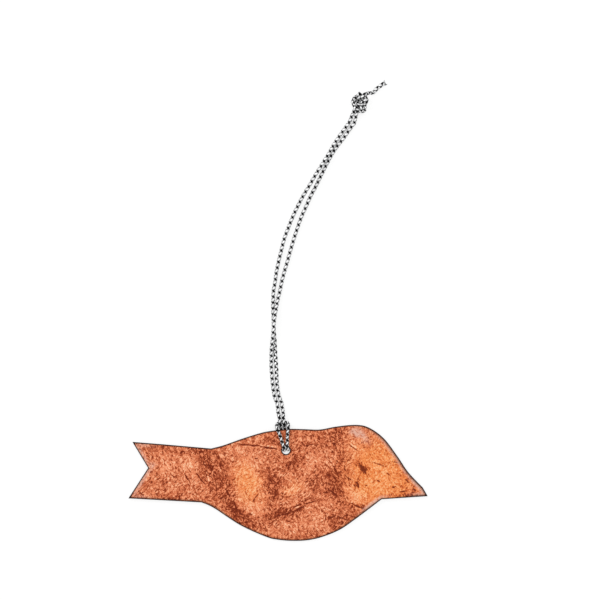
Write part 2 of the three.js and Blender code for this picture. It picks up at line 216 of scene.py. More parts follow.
# %% [markdown]
# ## The hitch
# A bight of the cord is pushed through the hole from behind, its two legs go up the front and over the top
# edge, and they join behind the two strands that come up the back and through the bight: a lark's head. One
# half is described, outwards from the hole, and mirrored. Offsets that belong to the tying are counted in
# spacings of the drawn strands, so that they keep their gaps when the cord changes.

# %% Line of the hitch
edge_clearance, turn_shift = 0.7 * MM, 0.1 * MM


def upper_edge(loop, x):
    """Height of a closed outline's upper edge at one place."""
    ends = np.roll(loop, -1, axis=0)
    crossing = ((loop[:, 0] - x) * (ends[:, 0] - x) <= 0) & (loop[:, 0] != ends[:, 0])
    a, b = loop[crossing], ends[crossing]
    return np.max(a[:, 1] + (x - a[:, 0]) / (b[:, 0] - a[:, 0]) * (b[:, 1] - a[:, 1]))


turned = outline @ np.array([[np.cos(lean), -np.sin(lean)], [np.sin(lean), np.cos(lean)]])
edge = max(upper_edge(turned, side * 1.5 * drawn_spacing) for side in (-1, 0, 1))


def hitch_half(side):
    """One half of the hitch from the fold line to the bar behind, in the row frame."""
    s = drawn_spacing
    skin = shell_thickness / 2 + shell_clearance + drawn_diameter / 2
    over_edge = edge + edge_clearance + drawn_diameter / 2
    bar_y, bar_z = over_edge + 0.88 * s, -skin - 0.13 * s
    turn_top = turn_shift + skin
    half_way = (edge + turn_top) / 2
    strand, leg = s / 2, 1.5 * s
    between = strand + 0.35 * (leg - strand), strand + 0.72 * (leg - strand)
    standing = [
        ((strand + laid_spacing / 2) / 2, bar_y + 2.1 * s, bar_z + 0.32 * s),
        (strand, bar_y + 1.1 * s, bar_z + 0.85 * s), (strand, bar_y, bar_z + 1.08 * s),
        (strand, bar_y - 0.55 * s, bar_z + 1.02 * s), (strand, edge + 0.66 * s, 0.26 * s - skin),
        (strand, edge - 0.3 * s, -0.05 * s - skin), (strand, half_way, -skin),
    ]
    turn = [(strand, turn_top - skin * np.cos(a), skin * np.sin(a))
            for a in np.radians(range(-90, 91, 30))]
    over = [
        (between[0], half_way, skin), (between[1], edge - 0.46 * s, skin + 0.02 * s),
        (leg, edge + 0.35 * s, skin - 0.12 * s), (leg, over_edge + 0.09 * s, 0.19 * s),
        (leg, over_edge + 0.35 * s, -0.55 * s),
        (leg - 0.46 * s, bar_y - 0.11 * s, bar_z + 0.15 * s), (strand, bar_y, bar_z + 0.01 * s),
    ]
    own = np.array(standing + turn + over + [(0, bar_y, bar_z)]) * (side, 1, 1)
    rightward = np.cos(lean) * shell_along + np.sin(lean) * shell_up
    upward = -np.sin(lean) * shell_along + np.cos(lean) * shell_up
    placed = hole_centre + own @ np.array([rightward, upward, shell_normal])
    end = fold + across * side * laid_spacing / 2 - hitch_direction * end_gap / 2
    return np.vstack([end, end - hitch_direction * 0.8 * cord_diameter, placed])


hitch_points = np.vstack([hitch_half(-1), hitch_half(1)[-2::-1]])
print(f"edge is {edge / MM:.3f} mm from the hole's centre")

# %% [markdown]
# ## The knot
# Both strands are tied together in an overhand knot. A tight knot is hard to draw by hand, because every
# strand presses on the others. So the doubled cord is laid loosely in an overhand and then drawn tight step
# by step: each step keeps the strands' length, resists sharp bends, holds the ends straight and pushes
# strands apart that have come too near. A few thousand small steps settle it on the table. All of it is
# counted in millimetres, in the knot's own frame, with the free cord's middle at height 0.

# %% Drawing the knot tight
loose_knot = [
    (-14, 0, 0), (-9, 0, 0), (-4, 0, 0), (-1.4, 0, 1.0), (1.4, 0, 1.8), (5, 0.6, 1.0), (8, 3.5, 0),
    (6.5, 7, 0), (2, 9, 0.6), (-2.6, 6.8, 1.6), (-4.6, 3, 1.9), (-4.2, 0, 1.8), (-2, -3.6, 0.7),
    (0.6, -3.4, 0), (1.6, 0, 0), (3, 4, 0.9), (6.5, 7, 1.8), (10, 7.5, 1), (12.5, 3.5, 0), (14, 0.3, 0),
]  # in spacings of the drawn strands
knot_reach, loose_reach, knot_length = 5.5, 14, 26  # in the same spacings
beads, bend_beads, held_beads = 80, 4, 3
exit_shift = 0.96 * MM  # sideways, from where the strands enter the knot to where they leave it
rounds, passes = 1200, 4
tight_from, firm_from = 0.6, 0.8  # shares of the rounds from which it is tight, and pushed apart firmly
firm_pushes = 3
tightest_bend = 0.8  # radius, in spacings
own_strand = 1.8  # beads of one strand that lie nearer than this along it don't push, in spacings
bend_stiffness, push_softness = 0.1, 0.5
sinking = 0.0005  # millimetres in each pass


def settle(a, b, wanted, share):
    """Steps that bring pairs of points towards the distance wanted."""
    step = b - a
    length = np.linalg.norm(step, axis=-1, keepdims=True)
    return step * share * (length - wanted) / length, length


def push_apart(points, pairs, spacing):
    """Moves points apart that lie nearer than a spacing."""
    step = points[pairs[1]] - points[pairs[0]]
    near = np.einsum("ij,ij->i", step, step) < spacing**2
    i, j = pairs[0][near], pairs[1][near]
    move, _ = settle(points[i], points[j], spacing, 0.5)
    pushes = np.zeros_like(points)
    np.add.at(pushes, i, move)
    np.subtract.at(pushes, j, move)
    touches = np.bincount(np.concatenate([i, j]), minlength=len(points))
    points += pushes / np.maximum(1, touches * push_softness)[:, None]


def side_by_side(points, spacing):
    """Beads of two strands, laid side by side along the smooth line through the points."""
    shares = even_shares(points, beads, 200)
    centre = smooth(points, shares)
    ahead = smooth(points, np.minimum(shares + 1e-4, 1)) - smooth(points, np.maximum(shares - 1e-4, 0))
    aside = np.column_stack([-ahead[:, 1], ahead[:, 0], np.zeros(beads)])
    aside /= np.linalg.norm(aside, axis=1, keepdims=True)
    return np.stack([centre + aside * spacing / 2, centre - aside * spacing / 2])


def hold_ends(strands, step, reach):
    """Lays the first and the last beads of both strands straight."""
    laid = laid_spacing / MM
    for strand, side in zip(strands, (0.5, -0.5)):
        for i in range(held_beads):
            strand[i] = (i * step - reach, side * laid, 0)
            strand[-1 - i] = (reach - i * step, side * laid + exit_shift / MM, 0)


def tie_knot():
    """The two strands of the tight knot in the knot's own frame, in metres."""
    spacing = drawn_spacing / MM
    points = np.array(loose_knot, float) * spacing
    strands = side_by_side(points, spacing)
    every = strands.reshape(-1, 3)
    loose_step = lengths_along(smooth(points, np.linspace(0, 1, 201)))[-1] / (beads - 1)
    tight_step = knot_length * spacing / (beads - 1)
    lowest = (drawn_diameter - cord_diameter) / 2 / MM - table_gap / 2 / MM
    first, second = np.triu_indices(len(every), 1)
    same_strand = (first < beads) == (second < beads)
    last_skip = None
    for turn in range(rounds):
        drawn = min(1, turn / (rounds * tight_from))
        step = loose_step + (tight_step - loose_step) * drawn
        reach = (loose_reach + (knot_reach - loose_reach) * drawn) * spacing
        bend = tightest_bend * spacing
        chord = 2 * bend * np.sin(min(np.pi / 2, bend_beads * step / (2 * bend)))
        skip = int(np.ceil(own_strand * spacing / step))
        if skip != last_skip:
            apart = ~(same_strand & (second - first < skip))
            pairs, last_skip = (first[apart], second[apart]), skip
        for _ in range(passes):
            for start in (0, 1):
                a, b = strands[:, start:-1:2], strands[:, start + 1::2]
                move, _length = settle(a, b, step, 0.5)
                a += move
                b -= move
            for i in range(0, beads - bend_beads, bend_beads):
                a, b = strands[:, i:i + bend_beads], strands[:, i + bend_beads:i + 2 * bend_beads]
                move, length = settle(a, b, chord, bend_stiffness)
                move *= length < chord
                a += move
                b -= move
            hold_ends(strands, step, reach)
            for _push in range(firm_pushes if turn > rounds * firm_from else 1):
                push_apart(every, pairs, spacing)
            every[:, 2] = np.maximum(lowest, every[:, 2] - sinking)
        hold_ends(strands, step, reach)
    return strands * MM


short_strand, long_strand = tie_knot()
print("knot drawn tight, highest strand "
      f"{max(short_strand[:, 2].max(), long_strand[:, 2].max()) / MM:.2f} mm above the free cord")

# %% [markdown]
# ## The free strands and the tails
# From the hitch the two strands run up side by side, cross, lean on each other again and meet at the knot.
# Their points were chosen along the photograph's cord, from the fold line, with a level: 0 on the
# table and 1 on top of the other strand. The knot has a place and a turn of its own.

# %% Lines of the free strands and the knot
left_route = [
    (-2.1, 4.0, 0), (-2.7, 7.4, 0), (-3.0, 10.8, 0), (-3.2, 13.9, 0.06), (-3.2, 17.0, 0.36),
    (-3.1, 19.7, 0.72), (-2.8, 22.1, 0.95), (-2.5, 24.5, 1.04), (-2.2, 27.2, 1.06), (-1.9, 29.9, 1.04),
    (-1.5, 32.3, 0.9), (-0.9, 35.4, 0.46), (-0.3, 38.1, 0.1), (0.3, 41.1, 0), (1.1, 45.1, 0),
    (2.3, 49.3, 0), (3.4, 53.2, 0), (4.6, 57.3, 0), (5.9, 61.3, 0), (7.3, 65.2, 0), (9.0, 69.0, 0),
    (10.6, 72.6, 0), (12.2, 75.6, 0), (13.8, 78.9, 0), (15.5, 82.3, 0), (17.4, 85.7, 0), (19.5, 89.0, 0),
    (21.8, 91.8, 0),
]
right_route = [
    (-0.1, 3.9, 0), (-0.6, 6.7, 0), (-0.9, 9.8, 0), (-1.0, 12.9, 0), (-1.2, 15.6, 0), (-1.4, 18.3, 0),
    (-1.6, 21.0, 0), (-1.8, 23.8, 0), (-2.1, 26.8, 0), (-2.3, 29.9, 0), (-2.5, 33.0, 0), (-2.6, 36.1, 0),
    (-2.4, 39.5, 0), (-1.8, 42.9, 0), (-1.2, 46.6, 0), (-0.4, 50.4, 0), (0.4, 53.6, 0), (1.4, 57.6, 0),
    (2.9, 61.7, 0), (4.4, 65.4, 0), (6.2, 69.2, 0.15), (8.1, 72.7, 0.6), (10.0, 75.8, 0.95),
    (11.9, 79.1, 1.05), (14.0, 82.5, 1.05), (16.0, 85.9, 0.95), (17.8, 89.1, 0.6), (19.9, 92.6, 0.25),
]
knot_place = np.array([27.3, 103.6, 0]) * MM  # from the fold line
knot_middle = np.array([0.3, 1.4, 0]) * MM  # in the knot's own frame
knot_turn = np.radians(54)
long_tail, short_tail_cut = 4.2 * MM, 3.6 * MM  # beyond the end of the drawn knot, and short of it
tail_run = np.array([(0.34, -0.06, 0), (0.67, -0.16, 0), (0.96, -0.28, 0)]) * long_tail
knot_axes = np.array([(np.cos(knot_turn), np.sin(knot_turn), 0),
                      (-np.sin(knot_turn), np.cos(knot_turn), 0), (0, 0, 1)])
knot_origin = fold + knot_place - knot_middle @ knot_axes
knot_end = knot_reach * drawn_spacing


def in_knot(points):
    """Points of the knot's own frame, placed in the row frame."""
    return knot_origin + np.asarray(points) @ knot_axes


def free_strand(route, side):
    """Chosen points of a free strand, with straight ends at the fold line and the knot."""
    start = fold + across * side * laid_spacing / 2 + hitch_direction * end_gap / 2
    laid = fold + np.array(route) * (MM, MM, laid_spacing)
    ends = [(-knot_end - end_gap - cord_diameter, side * laid_spacing / 2, 0),
            (-knot_end - end_gap, side * laid_spacing / 2, 0)]
    return np.vstack([start, start + hitch_direction * cord_diameter, laid, in_knot(ends)])


cut = knot_end - short_tail_cut
short_points = in_knot(short_strand[:np.flatnonzero(short_strand[:, 0] < cut)[-1] + 1])
long_points = in_knot(np.vstack([long_strand, long_strand[-1] + tail_run]))
knot_entry = [in_knot((-knot_end - end_gap / 2, side * laid_spacing / 2, 0)) for side in (-1, 1)]
fold_entry = [fold + across * side * laid_spacing / 2 for side in (-1, 1)]

# %% [markdown]
# ## One cord in five stretches
# The braid runs on from stretch to stretch without a jump, so every point knows how far along the whole
# cord it lies, from the long tail's tip to the short tail's. Every point also has a sideways direction. On
# the free strands it is level, so that the braid's openings face the camera as they do in the photograph,
# but the right one is slack above the hitch and rolls there and back. In the hitch and the knot it is
# carried along without twist, and any turn left over is spread evenly in the hitch.

# %% Stretches with their length along the cord, sides and radii
point_step = 0.15 * MM
drawn_look = 1.38 * MM  # diameter that the drawn-in braid shows
slack_roll, slack_length = -0.75, 36 * MM  # radians, and how far up the right strand it rolls


def ahead_of(line):
    """Direction of a line at each of its points."""
    steps = np.gradient(line, axis=0)
    return steps / np.linalg.norm(steps, axis=1, keepdims=True)


def level_sides(line):
    """Level directions across a line, to its right."""
    sides = np.cross(ahead_of(line), (0, 0, 1))
    return sides / np.linalg.norm(sides, axis=1, keepdims=True)


def rolled_sides(line, most, rolled_length):
    """Level sides that roll by up to so many radians and back over the first part of a strand."""
    share = np.clip(lengths_along(line) / rolled_length, 0, 1)
    roll = (most * np.sin(np.pi * share) ** 2)[:, None]
    level = level_sides(line)
    return level * np.cos(roll) + np.cross(ahead_of(line), level) * np.sin(roll)


def carried_sides(line, last=None):
    """Sides carried along a line without twist from a level start, and turned evenly to a given last one."""
    ahead = ahead_of(line)
    sides = [level_sides(line)[0]]
    for direction in ahead[1:]:
        side = sides[-1] - (sides[-1] @ direction) * direction
        sides.append(side / np.linalg.norm(side))
    sides = np.array(sides)
    if last is not None:
        share = lengths_along(line) / lengths_along(line)[-1]
        angle = np.arctan2(last @ np.cross(sides[-1], ahead[-1]), last @ sides[-1]) * share[:, None]
        sides = sides * np.cos(angle) + np.cross(sides, ahead) * np.sin(angle)
    return sides


def drawn_radius(along, full, drawn):
    """Radius at a length from where the cord is still full to where it is drawn in."""
    share = np.clip((along - full) / (drawn - full), 0, 1)
    share = share * share * (3 - 2 * share)
    return (cord_diameter + (drawn_look - cord_diameter) * share) / 2


def knot_radius(line, held=None):
    """Radius of a knot's strand: drawn in after its start, and full again past a held length."""
    along = lengths_along(line)
    radius = drawn_radius(along, 0.3 * cord_diameter, 1.8 * cord_diameter)
    if held is not None:
        radius = np.maximum(radius, drawn_radius(held - along, 0, 1.6 * cord_diameter))
    return radius


hitch_line = np.vstack([fold_entry[0], even_line(hitch_points, point_step), fold_entry[1]])
left_line = np.vstack([fold_entry[0], even_line(free_strand(left_route, -1), point_step), knot_entry[0]])
right_line = np.vstack([fold_entry[1], even_line(free_strand(right_route, 1), point_step), knot_entry[1]])
short_line = np.vstack([knot_entry[1], even_line(short_points, point_step)])
long_line = np.vstack([knot_entry[0], even_line(long_points, point_step)])
long_held = lengths_along(smooth(in_knot(long_strand), np.linspace(0, 1, 2000)))[-1]
from_hitch_end = np.minimum(lengths_along(hitch_line), lengths_along(hitch_line[::-1])[::-1])
stretches = {
    "long_tail": dict(line=long_line[::-1], sides=-carried_sides(long_line)[::-1],
                      radius=knot_radius(long_line, long_held)[::-1]),
    "left_strand": dict(line=left_line[::-1], sides=level_sides(left_line[::-1]),
                        radius=np.full(len(left_line), cord_diameter / 2)),
    "hitch": dict(line=hitch_line, sides=carried_sides(hitch_line, level_sides(hitch_line)[-1]),
                  radius=drawn_radius(from_hitch_end, 0.2 * cord_diameter, 1.9 * cord_diameter)),
    "right_strand": dict(line=right_line, sides=rolled_sides(right_line, slack_roll, slack_length),
                         radius=np.full(len(right_line), cord_diameter / 2)),
    "short_tail": dict(line=short_line, sides=carried_sides(short_line), radius=knot_radius(short_line)),
}
whole_length = 0
for name, stretch in stretches.items():
    along = lengths_along(stretch["line"])
    stretch["arc"] = whole_length + along
    stretch["length"] = along[-1]
    whole_length += along[-1]
    print(f"{name}: {along[-1] / MM:.1f} mm")
print(f"cord from end to end: {whole_length / MM:.1f} mm")

# %% [markdown]
# The solids keep 0.4 mm of air between strands. Real strands touch, and in the photograph they lie tight
# beside and on each other. So each free strand moves towards its neighbour by half of the air between
# them, and the upper one of two crossed strands comes down by all of it. This fades out inside the hitch
# and the knot, where the solids are already as close as the cord looks.

# %% Strands that touch
closing_depth = 3 * MM  # how far into the hitch and the knot the strands still close up
closing_reach, closing_fade = 2.5 * MM, 0.5 * MM  # strands further apart than the reach stay where they are
own_length = 30 * MM  # the nearest strand lies further than this along the cord
closing_smoothed = 23  # points


def fading(along, length):
    """1 at a seam and 0 from a length inside the hitch or knot onwards."""
    share = np.clip(1 - along / length, 0, 1)
    return share * share * (3 - 2 * share)


def closing_moves():
    """How far each point of the whole cord moves, towards the nearest point of the other strand."""
    line, radius, arc = (np.concatenate([stretch[key] for stretch in stretches.values()])
                         for key in ("line", "radius", "arc"))
    weight = np.concatenate([
        fading(lengths_along(long_line), closing_depth)[::-1],
        np.ones(len(left_line)), fading(from_hitch_end, closing_depth), np.ones(len(right_line)),
        fading(lengths_along(short_line), closing_depth)])
    moves = np.zeros_like(line)
    for i in np.flatnonzero(weight > 0):
        away = np.linalg.norm(line - line[i], axis=1)
        away[np.abs(arc - arc[i]) < own_length] = np.inf
        j = away.argmin()
        towards = (line[j] - line[i]) / away[j]
        near = np.clip((closing_reach - away[j]) / closing_fade, 0, 1)
        air = max(0, away[j] - radius[i] - radius[j])
        moves[i, :2] = towards[:2] * 0.5 * air * near * weight[i]
        moves[i, 2] = min(0, towards[2]) * air * near * weight[i]
    window = np.hanning(closing_smoothed)
    return np.column_stack([
        np.convolve(np.pad(column, closing_smoothed // 2, mode="edge"), window / window.sum(), mode="valid")
        for column in moves.T])


seams = np.cumsum([len(stretch["line"]) for stretch in stretches.values()])[:-1]
moves = np.split(closing_moves(), seams)
for stretch, move in zip(stretches.values(), moves):
    stretch["shown"] = stretch["line"] + move
    stretch["radius"] = np.minimum(stretch["radius"], stretch["shown"][:, 2])  # nothing sinks into the table
print(f"strands moved by up to {max(np.linalg.norm(move, axis=1).max() for move in moves) / MM:.2f} mm")

# %% [markdown]
# The braided cord has to lie where its solids are, so each solid's points are measured against the line
# of its stretch. They should all be one radius of the solid away, from 0.4 mm where the cord is drawn in
# to 0.75 mm where it is free.

# %% How well the lines follow the solids
solid_of = {
    "long_tail": "cord_knot_long_tail", "left_strand": "cord_left_strand", "hitch": "cord_hitch",
    "right_strand": "cord_right_strand", "short_tail": "cord_knot_short_tail",
}
for name, node in solid_of.items():
    mesh = frame["nodes"][node].data
    corners = np.unique(np.round([vert.co for vert in mesh.vertices], 7), axis=0)
    away = np.min(np.linalg.norm(corners[:, None] - stretches[name]["line"][None], axis=2), axis=1)
    print(f"{node}: its surface is {away.min() / MM:.2f} to {away.max() / MM:.2f} mm from the line")

# %% [markdown]
# ## Helpers for nodes
# Shapes that repeat and all materials are made of nodes. One small function adds a node, sets it, and links
# or fills its inputs. It gives back the output that the next node needs. Another runs a finished tree of
# Geometry Nodes on some geometry and keeps the result as a plain mesh, so that nothing depends on the tree
# afterwards.

# %% Adding a node and running a tree
def add(tree, kind, inputs=None, out=0, **settings):
    """Adds a node; inputs are values or outputs of other nodes, by socket name or number."""
    node = tree.nodes.new(kind)
    for name, value in settings.items():
        setattr(node, name, value)
    for socket, value in (inputs or {}).items():
        if isinstance(value, bpy.types.NodeSocket):
            tree.links.new(value, node.inputs[socket])
        else:
            node.inputs[socket].default_value = value
    return node.outputs[out]


def colour(hexadecimal):
    """A colour written as sRGB hex, turned to the linear values that shaders count in."""
    parts = [int(hexadecimal[i:i + 2], 16) / 255 for i in (1, 3, 5)]
    return (*[part / 12.92 if part <= 0.04045 else ((part + 0.055) / 1.055) ** 2.4 for part in parts], 1)


def plain_mesh(name, data, tree, values):
    """The plain mesh that a tree makes of some geometry, with the values given to its inputs by name."""
    carrier = bpy.data.objects.new(data.name, data)
    scene.collection.objects.link(carrier)
    modifier = carrier.modifiers.new(tree.name, "NODES")
    modifier.node_group = tree
    for item in tree.interface.items_tree:
        if item.in_out == "INPUT" and item.name in values:
            modifier[item.identifier] = values[item.name]
    evaluated = carrier.evaluated_get(bpy.context.evaluated_depsgraph_get())
    mesh = bpy.data.meshes.new_from_object(evaluated)
    mesh.name = name
    bpy.data.objects.remove(carrier)
    bpy.data.meshes.remove(data)
    return mesh


def shown_piece(mesh):
    """An object at the origin that shows a mesh and has its name."""
    piece = bpy.data.objects.new(mesh.name, mesh)
    scene.collection.objects.link(piece)
    return piece


# %% [markdown]
# ## The braid
# The cord is a round braid of four flat silver yarns over a dark core. Two yarns wind one way and two the
# other, and each goes over and under the others by turns. A yarn puffs up where it lies on top and is
# squeezed where it dives, so the cord shows a row of pale grains with a dark opening after each, every 2 mm,
# which is half of the pitch. Four helices around a line are a rule, so Geometry Nodes make them: a yarn's
# angle follows the length along the cord, and its distance from the core swells and shrinks twice a turn.

# %% The braid as a node tree
braid_inputs = {
    "Pitch": 4.0 * MM, "Yarn width": 1.05, "Yarn thickness": 0.36, "Puff": 0.3, "Ring": 0.62, "Weave": 0.1,
    "Swell": 0.1, "Core": 0.66, "Drawn core": 0.8,
}  # the pitch in metres, the rest as shares of the cord's radius
profile_points = 10  # around each yarn and the core


def braid_tree():
    """Geometry Nodes that braid four yarns over a core along a line."""
    tree = bpy.data.node_groups.new("Round braid", "GeometryNodeTree")
    tree.interface.new_socket("Line", in_out="INPUT", socket_type="NodeSocketGeometry")
    for name, value in braid_inputs.items():
        tree.interface.new_socket(name, in_out="INPUT", socket_type="NodeSocketFloat").default_value = value
    for name in ("Yarn material", "Core material"):
        tree.interface.new_socket(name, in_out="INPUT", socket_type="NodeSocketMaterial")
    tree.interface.new_socket("Cord", in_out="OUTPUT", socket_type="NodeSocketGeometry")

    given = add(tree, "NodeGroupInput").node.outputs
    line = add(tree, "GeometryNodeMeshToCurve", {0: given["Line"]})
    line = add(tree, "GeometryNodeSetCurveRadius", {0: line, "Radius": 1.0})
    side = add(tree, "GeometryNodeInputNamedAttribute", {0: "side"}, data_type="FLOAT_VECTOR")
    arc, cord_radius, fray, drawn, is_core = (
        add(tree, "GeometryNodeInputNamedAttribute", {0: name}, data_type="FLOAT")
        for name in ("arc", "cord_radius", "fray", "drawn", "is_core"))
    up = add(tree, "ShaderNodeVectorMath", {0: side, 1: add(tree, "GeometryNodeInputTangent")},
             operation="CROSS_PRODUCT")
    turns = add(tree, "ShaderNodeMath", {0: arc, 1: given["Pitch"]}, operation="DIVIDE")
    angle = add(tree, "ShaderNodeMath", {0: turns, 1: 2 * np.pi}, operation="MULTIPLY")
    twice = add(tree, "ShaderNodeMath", {0: angle, 1: 2.0}, operation="MULTIPLY")
    crossing = add(tree, "ShaderNodeMath", {0: twice}, operation="COSINE")
    swelling = add(tree, "ShaderNodeMath", {0: crossing, 1: given["Swell"], 2: 1.0}, operation="MULTIPLY_ADD")
    radius = add(tree, "ShaderNodeMath", {0: cord_radius, 1: swelling}, operation="MULTIPLY")
    ring = add(tree, "ShaderNodeMath", {0: given["Ring"], 1: fray}, operation="ADD")

    round_profile = add(tree, "GeometryNodeCurvePrimitiveCircle",
                        {"Resolution": profile_points, "Radius": 1.0}, mode="RADIUS")
    place = add(tree, "GeometryNodeInputPosition")
    over = add(tree, "ShaderNodeSeparateXYZ", {0: place}, out="Y")
    marked = add(tree, "GeometryNodeStoreNamedAttribute",
                 {"Geometry": round_profile, "Name": "across", "Value": over},
                 data_type="FLOAT", domain="POINT")
    size = add(tree, "ShaderNodeCombineXYZ", {
        "X": add(tree, "ShaderNodeMath", {0: given["Yarn thickness"], 1: 2.0}, operation="DIVIDE"),
        "Y": add(tree, "ShaderNodeMath", {0: given["Yarn width"], 1: 2.0}, operation="DIVIDE"), "Z": 1.0})
    flat_profile = add(tree, "GeometryNodeTransform", {"Geometry": marked, "Scale": size})

    joined = tree.nodes.new("GeometryNodeJoinGeometry")
    for way, start in ((1, 0), (1, np.pi), (-1, 0), (-1, np.pi)):
        own = add(tree, "ShaderNodeMath", {0: angle, 1: float(way), 2: start}, operation="MULTIPLY_ADD")
        outward = add(tree, "ShaderNodeVectorMath", {
            0: add(tree, "ShaderNodeVectorMath",
                   {0: up, "Scale": add(tree, "ShaderNodeMath", {0: own}, operation="COSINE")},
                   operation="SCALE"),
            1: add(tree, "ShaderNodeVectorMath",
                   {0: side, "Scale": add(tree, "ShaderNodeMath", {0: own}, operation="SINE")},
                   operation="SCALE")}, operation="ADD")
        raised = add(tree, "ShaderNodeMath", {0: crossing, 1: float(way)}, operation="MULTIPLY")
        share = add(tree, "ShaderNodeMath", {0: raised, 1: given["Weave"], 2: ring}, operation="MULTIPLY_ADD")
        away = add(tree, "ShaderNodeMath", {0: share, 1: radius}, operation="MULTIPLY")
        facing = add(tree, "GeometryNodeSetCurveNormal", {"Curve": line, "Normal": outward}, mode="FREE")
        wound = add(tree, "GeometryNodeSetPosition", {
            "Geometry": facing,
            "Offset": add(tree, "ShaderNodeVectorMath", {0: outward, "Scale": away}, operation="SCALE")})
        wound = add(tree, "GeometryNodeStoreNamedAttribute",
                    {"Geometry": wound, "Name": "raised", "Value": raised}, data_type="FLOAT", domain="POINT")
        puffed = add(tree, "ShaderNodeMath", {0: raised, 1: given["Puff"], 2: 1.0}, operation="MULTIPLY_ADD")
        yarn = add(tree, "GeometryNodeCurveToMesh", {
            "Curve": wound, "Profile Curve": flat_profile, "Fill Caps": True,
            "Scale": add(tree, "ShaderNodeMath", {0: radius, 1: puffed}, operation="MULTIPLY")})
        tree.links.new(yarn, joined.inputs[0])

    core_share = add(tree, "ShaderNodeMapRange",
                     {"Value": drawn, "To Min": given["Core"], "To Max": given["Drawn core"]})
    core_size = add(tree, "ShaderNodeMath", {0: radius, 1: core_share}, operation="MULTIPLY")
    core = add(tree, "GeometryNodeCurveToMesh",
               {"Curve": line, "Profile Curve": round_profile, "Scale": core_size, "Fill Caps": True})
    core = add(tree, "GeometryNodeStoreNamedAttribute", {"Geometry": core, "Name": "is_core", "Value": 1.0},
               data_type="FLOAT", domain="POINT")
    tree.links.new(core, joined.inputs[0])
    real = add(tree, "GeometryNodeRealizeInstances", {0: joined.outputs[0]})
    smooth_faces = add(tree, "GeometryNodeSetShadeSmooth", {0: real})
    silver = add(tree, "GeometryNodeSetMaterial",
                 {"Geometry": smooth_faces, "Material": given["Yarn material"]})
    done = add(tree, "GeometryNodeSetMaterial",
               {"Geometry": silver, "Selection": is_core, "Material": given["Core material"]})
    tree.links.new(done, tree.nodes.new("NodeGroupOutput").inputs[0])
    return tree


braid = braid_tree()
print(f"braid tree: {len(braid.nodes)} nodes")

# %% [markdown]
# ## What the cord is made of
# The yarns are polyester wound with aluminium-coated film, as in metallic cord. Each is a flat bundle of
# fine bright threads, almost white on top. Shade is painted on it, nearly black along its edges, where it turns
# down, and where it dives under its neighbour. The core is a plain black yarn that only shows between them.

# %% Silver yarn and black core
def new_material(name):
    """A material with its node tree and its main shader."""
    material = bpy.data.materials.new(name)
    material.use_nodes = True
    tree = material.node_tree
    return material, tree, tree.nodes["Principled BSDF"]


# Metal-coated polyester thread, wound and braided: bright, with a soft broken gloss
silver_yarn, tree, shader = new_material("metallised_polyester_yarn_braided")
over, raised, drawn = (add(tree, "ShaderNodeAttribute", {}, "Fac", attribute_name=name)
                       for name in ("across", "raised", "drawn"))
# Painted shade along each yarn's edges, where it turns down; where a hitch or knot draws the cord in, it
# reaches further in
bright_free, bright_drawn, edge_width = 0.46, 0.32, 0.36  # shares of a yarn's half width
bright_part = add(tree, "ShaderNodeMapRange", {"Value": drawn, "To Min": bright_free, "To Max": bright_drawn})
edge_shade = add(tree, "ShaderNodeMapRange", {
    "Value": add(tree, "ShaderNodeMath", {0: over}, operation="ABSOLUTE"), "From Min": bright_part,
    "From Max": add(tree, "ShaderNodeMath", {0: bright_part, 1: edge_width}, operation="ADD")})
# Painted shade where a yarn dives, as in the shade of its neighbour; it is darker where the cord is drawn in
dive_shade_free, dive_shade_drawn = 0.6, 0.95
dive_from, dive_full = 0.1, -0.6  # how far a yarn is raised where the painted shade starts and where it is full
dive_shade_most = add(tree, "ShaderNodeMapRange", {"Value": drawn, "To Min": dive_shade_free, "To Max": dive_shade_drawn})
dive_shade = add(tree, "ShaderNodeMapRange",
                 {"Value": raised, "From Min": dive_from, "From Max": dive_full, "To Max": dive_shade_most})
painted_shade_share = add(tree, "ShaderNodeMath", {0: edge_shade, 1: dive_shade}, operation="MAXIMUM")
place = add(tree, "ShaderNodeTexCoord", {}, "Object")
mottle = add(tree, "ShaderNodeTexNoise", {"Vector": place, "Scale": 900.0, "Detail": 3.0})
# Threads of 0.1 mm can't show at this size, so three ridges of about 0.3 mm stand for them
thread_angle = add(tree, "ShaderNodeMath", {0: over, 1: 3 * np.pi}, operation="MULTIPLY")
threads = add(tree, "ShaderNodeMath", {0: thread_angle}, operation="COSINE")
worn = add(tree, "ShaderNodeMix", {0: mottle, 6: colour("#FFFFFF"), 7: colour("#EDEEEF")}, 2,
           data_type="RGBA")
# Painted shade: the yarn is darkened to near black along its edges and where it dives
shaded = add(tree, "ShaderNodeMix", {0: painted_shade_share, 6: worn, 7: colour("#1A1B1D")}, 2, data_type="RGBA")
tree.links.new(shaded, shader.inputs["Base Color"])
shader.inputs["Metallic"].default_value = 0.3
shader.inputs["Roughness"].default_value = 0.36
shader.inputs["Specular IOR Level"].default_value = 0.2
ridges = add(tree, "ShaderNodeBump", {"Strength": 0.35, "Distance": 0.05 * MM, "Height": threads})
tree.links.new(ridges, shader.inputs["Normal"])

# Black polyester, spun: matt, with no colour of its own
black_core, tree, shader = new_material("black_polyester_core_spun")
place = add(tree, "ShaderNodeTexCoord", {}, "Object")
fuzz = add(tree, "ShaderNodeTexNoise", {"Vector": place, "Scale": 2500.0})
black = add(tree, "ShaderNodeMix", {0: fuzz, 6: colour("#050506"), 7: colour("#141416")}, 2,
            data_type="RGBA")
tree.links.new(black, shader.inputs["Base Color"])
shader.inputs["Roughness"].default_value = 0.9
shader.inputs["Specular IOR Level"].default_value = 0.1
print("cord materials:", silver_yarn.name, "and", black_core.name)

# %% [markdown]
# ## Braiding the five stretches
# Each stretch is a row of points with its values stored on them: length along the cord, side, radius, how
# far the cord is drawn in and, at the two cut tails, how far the yarns have sprung apart. The tree turns it
# into yarns over a core.

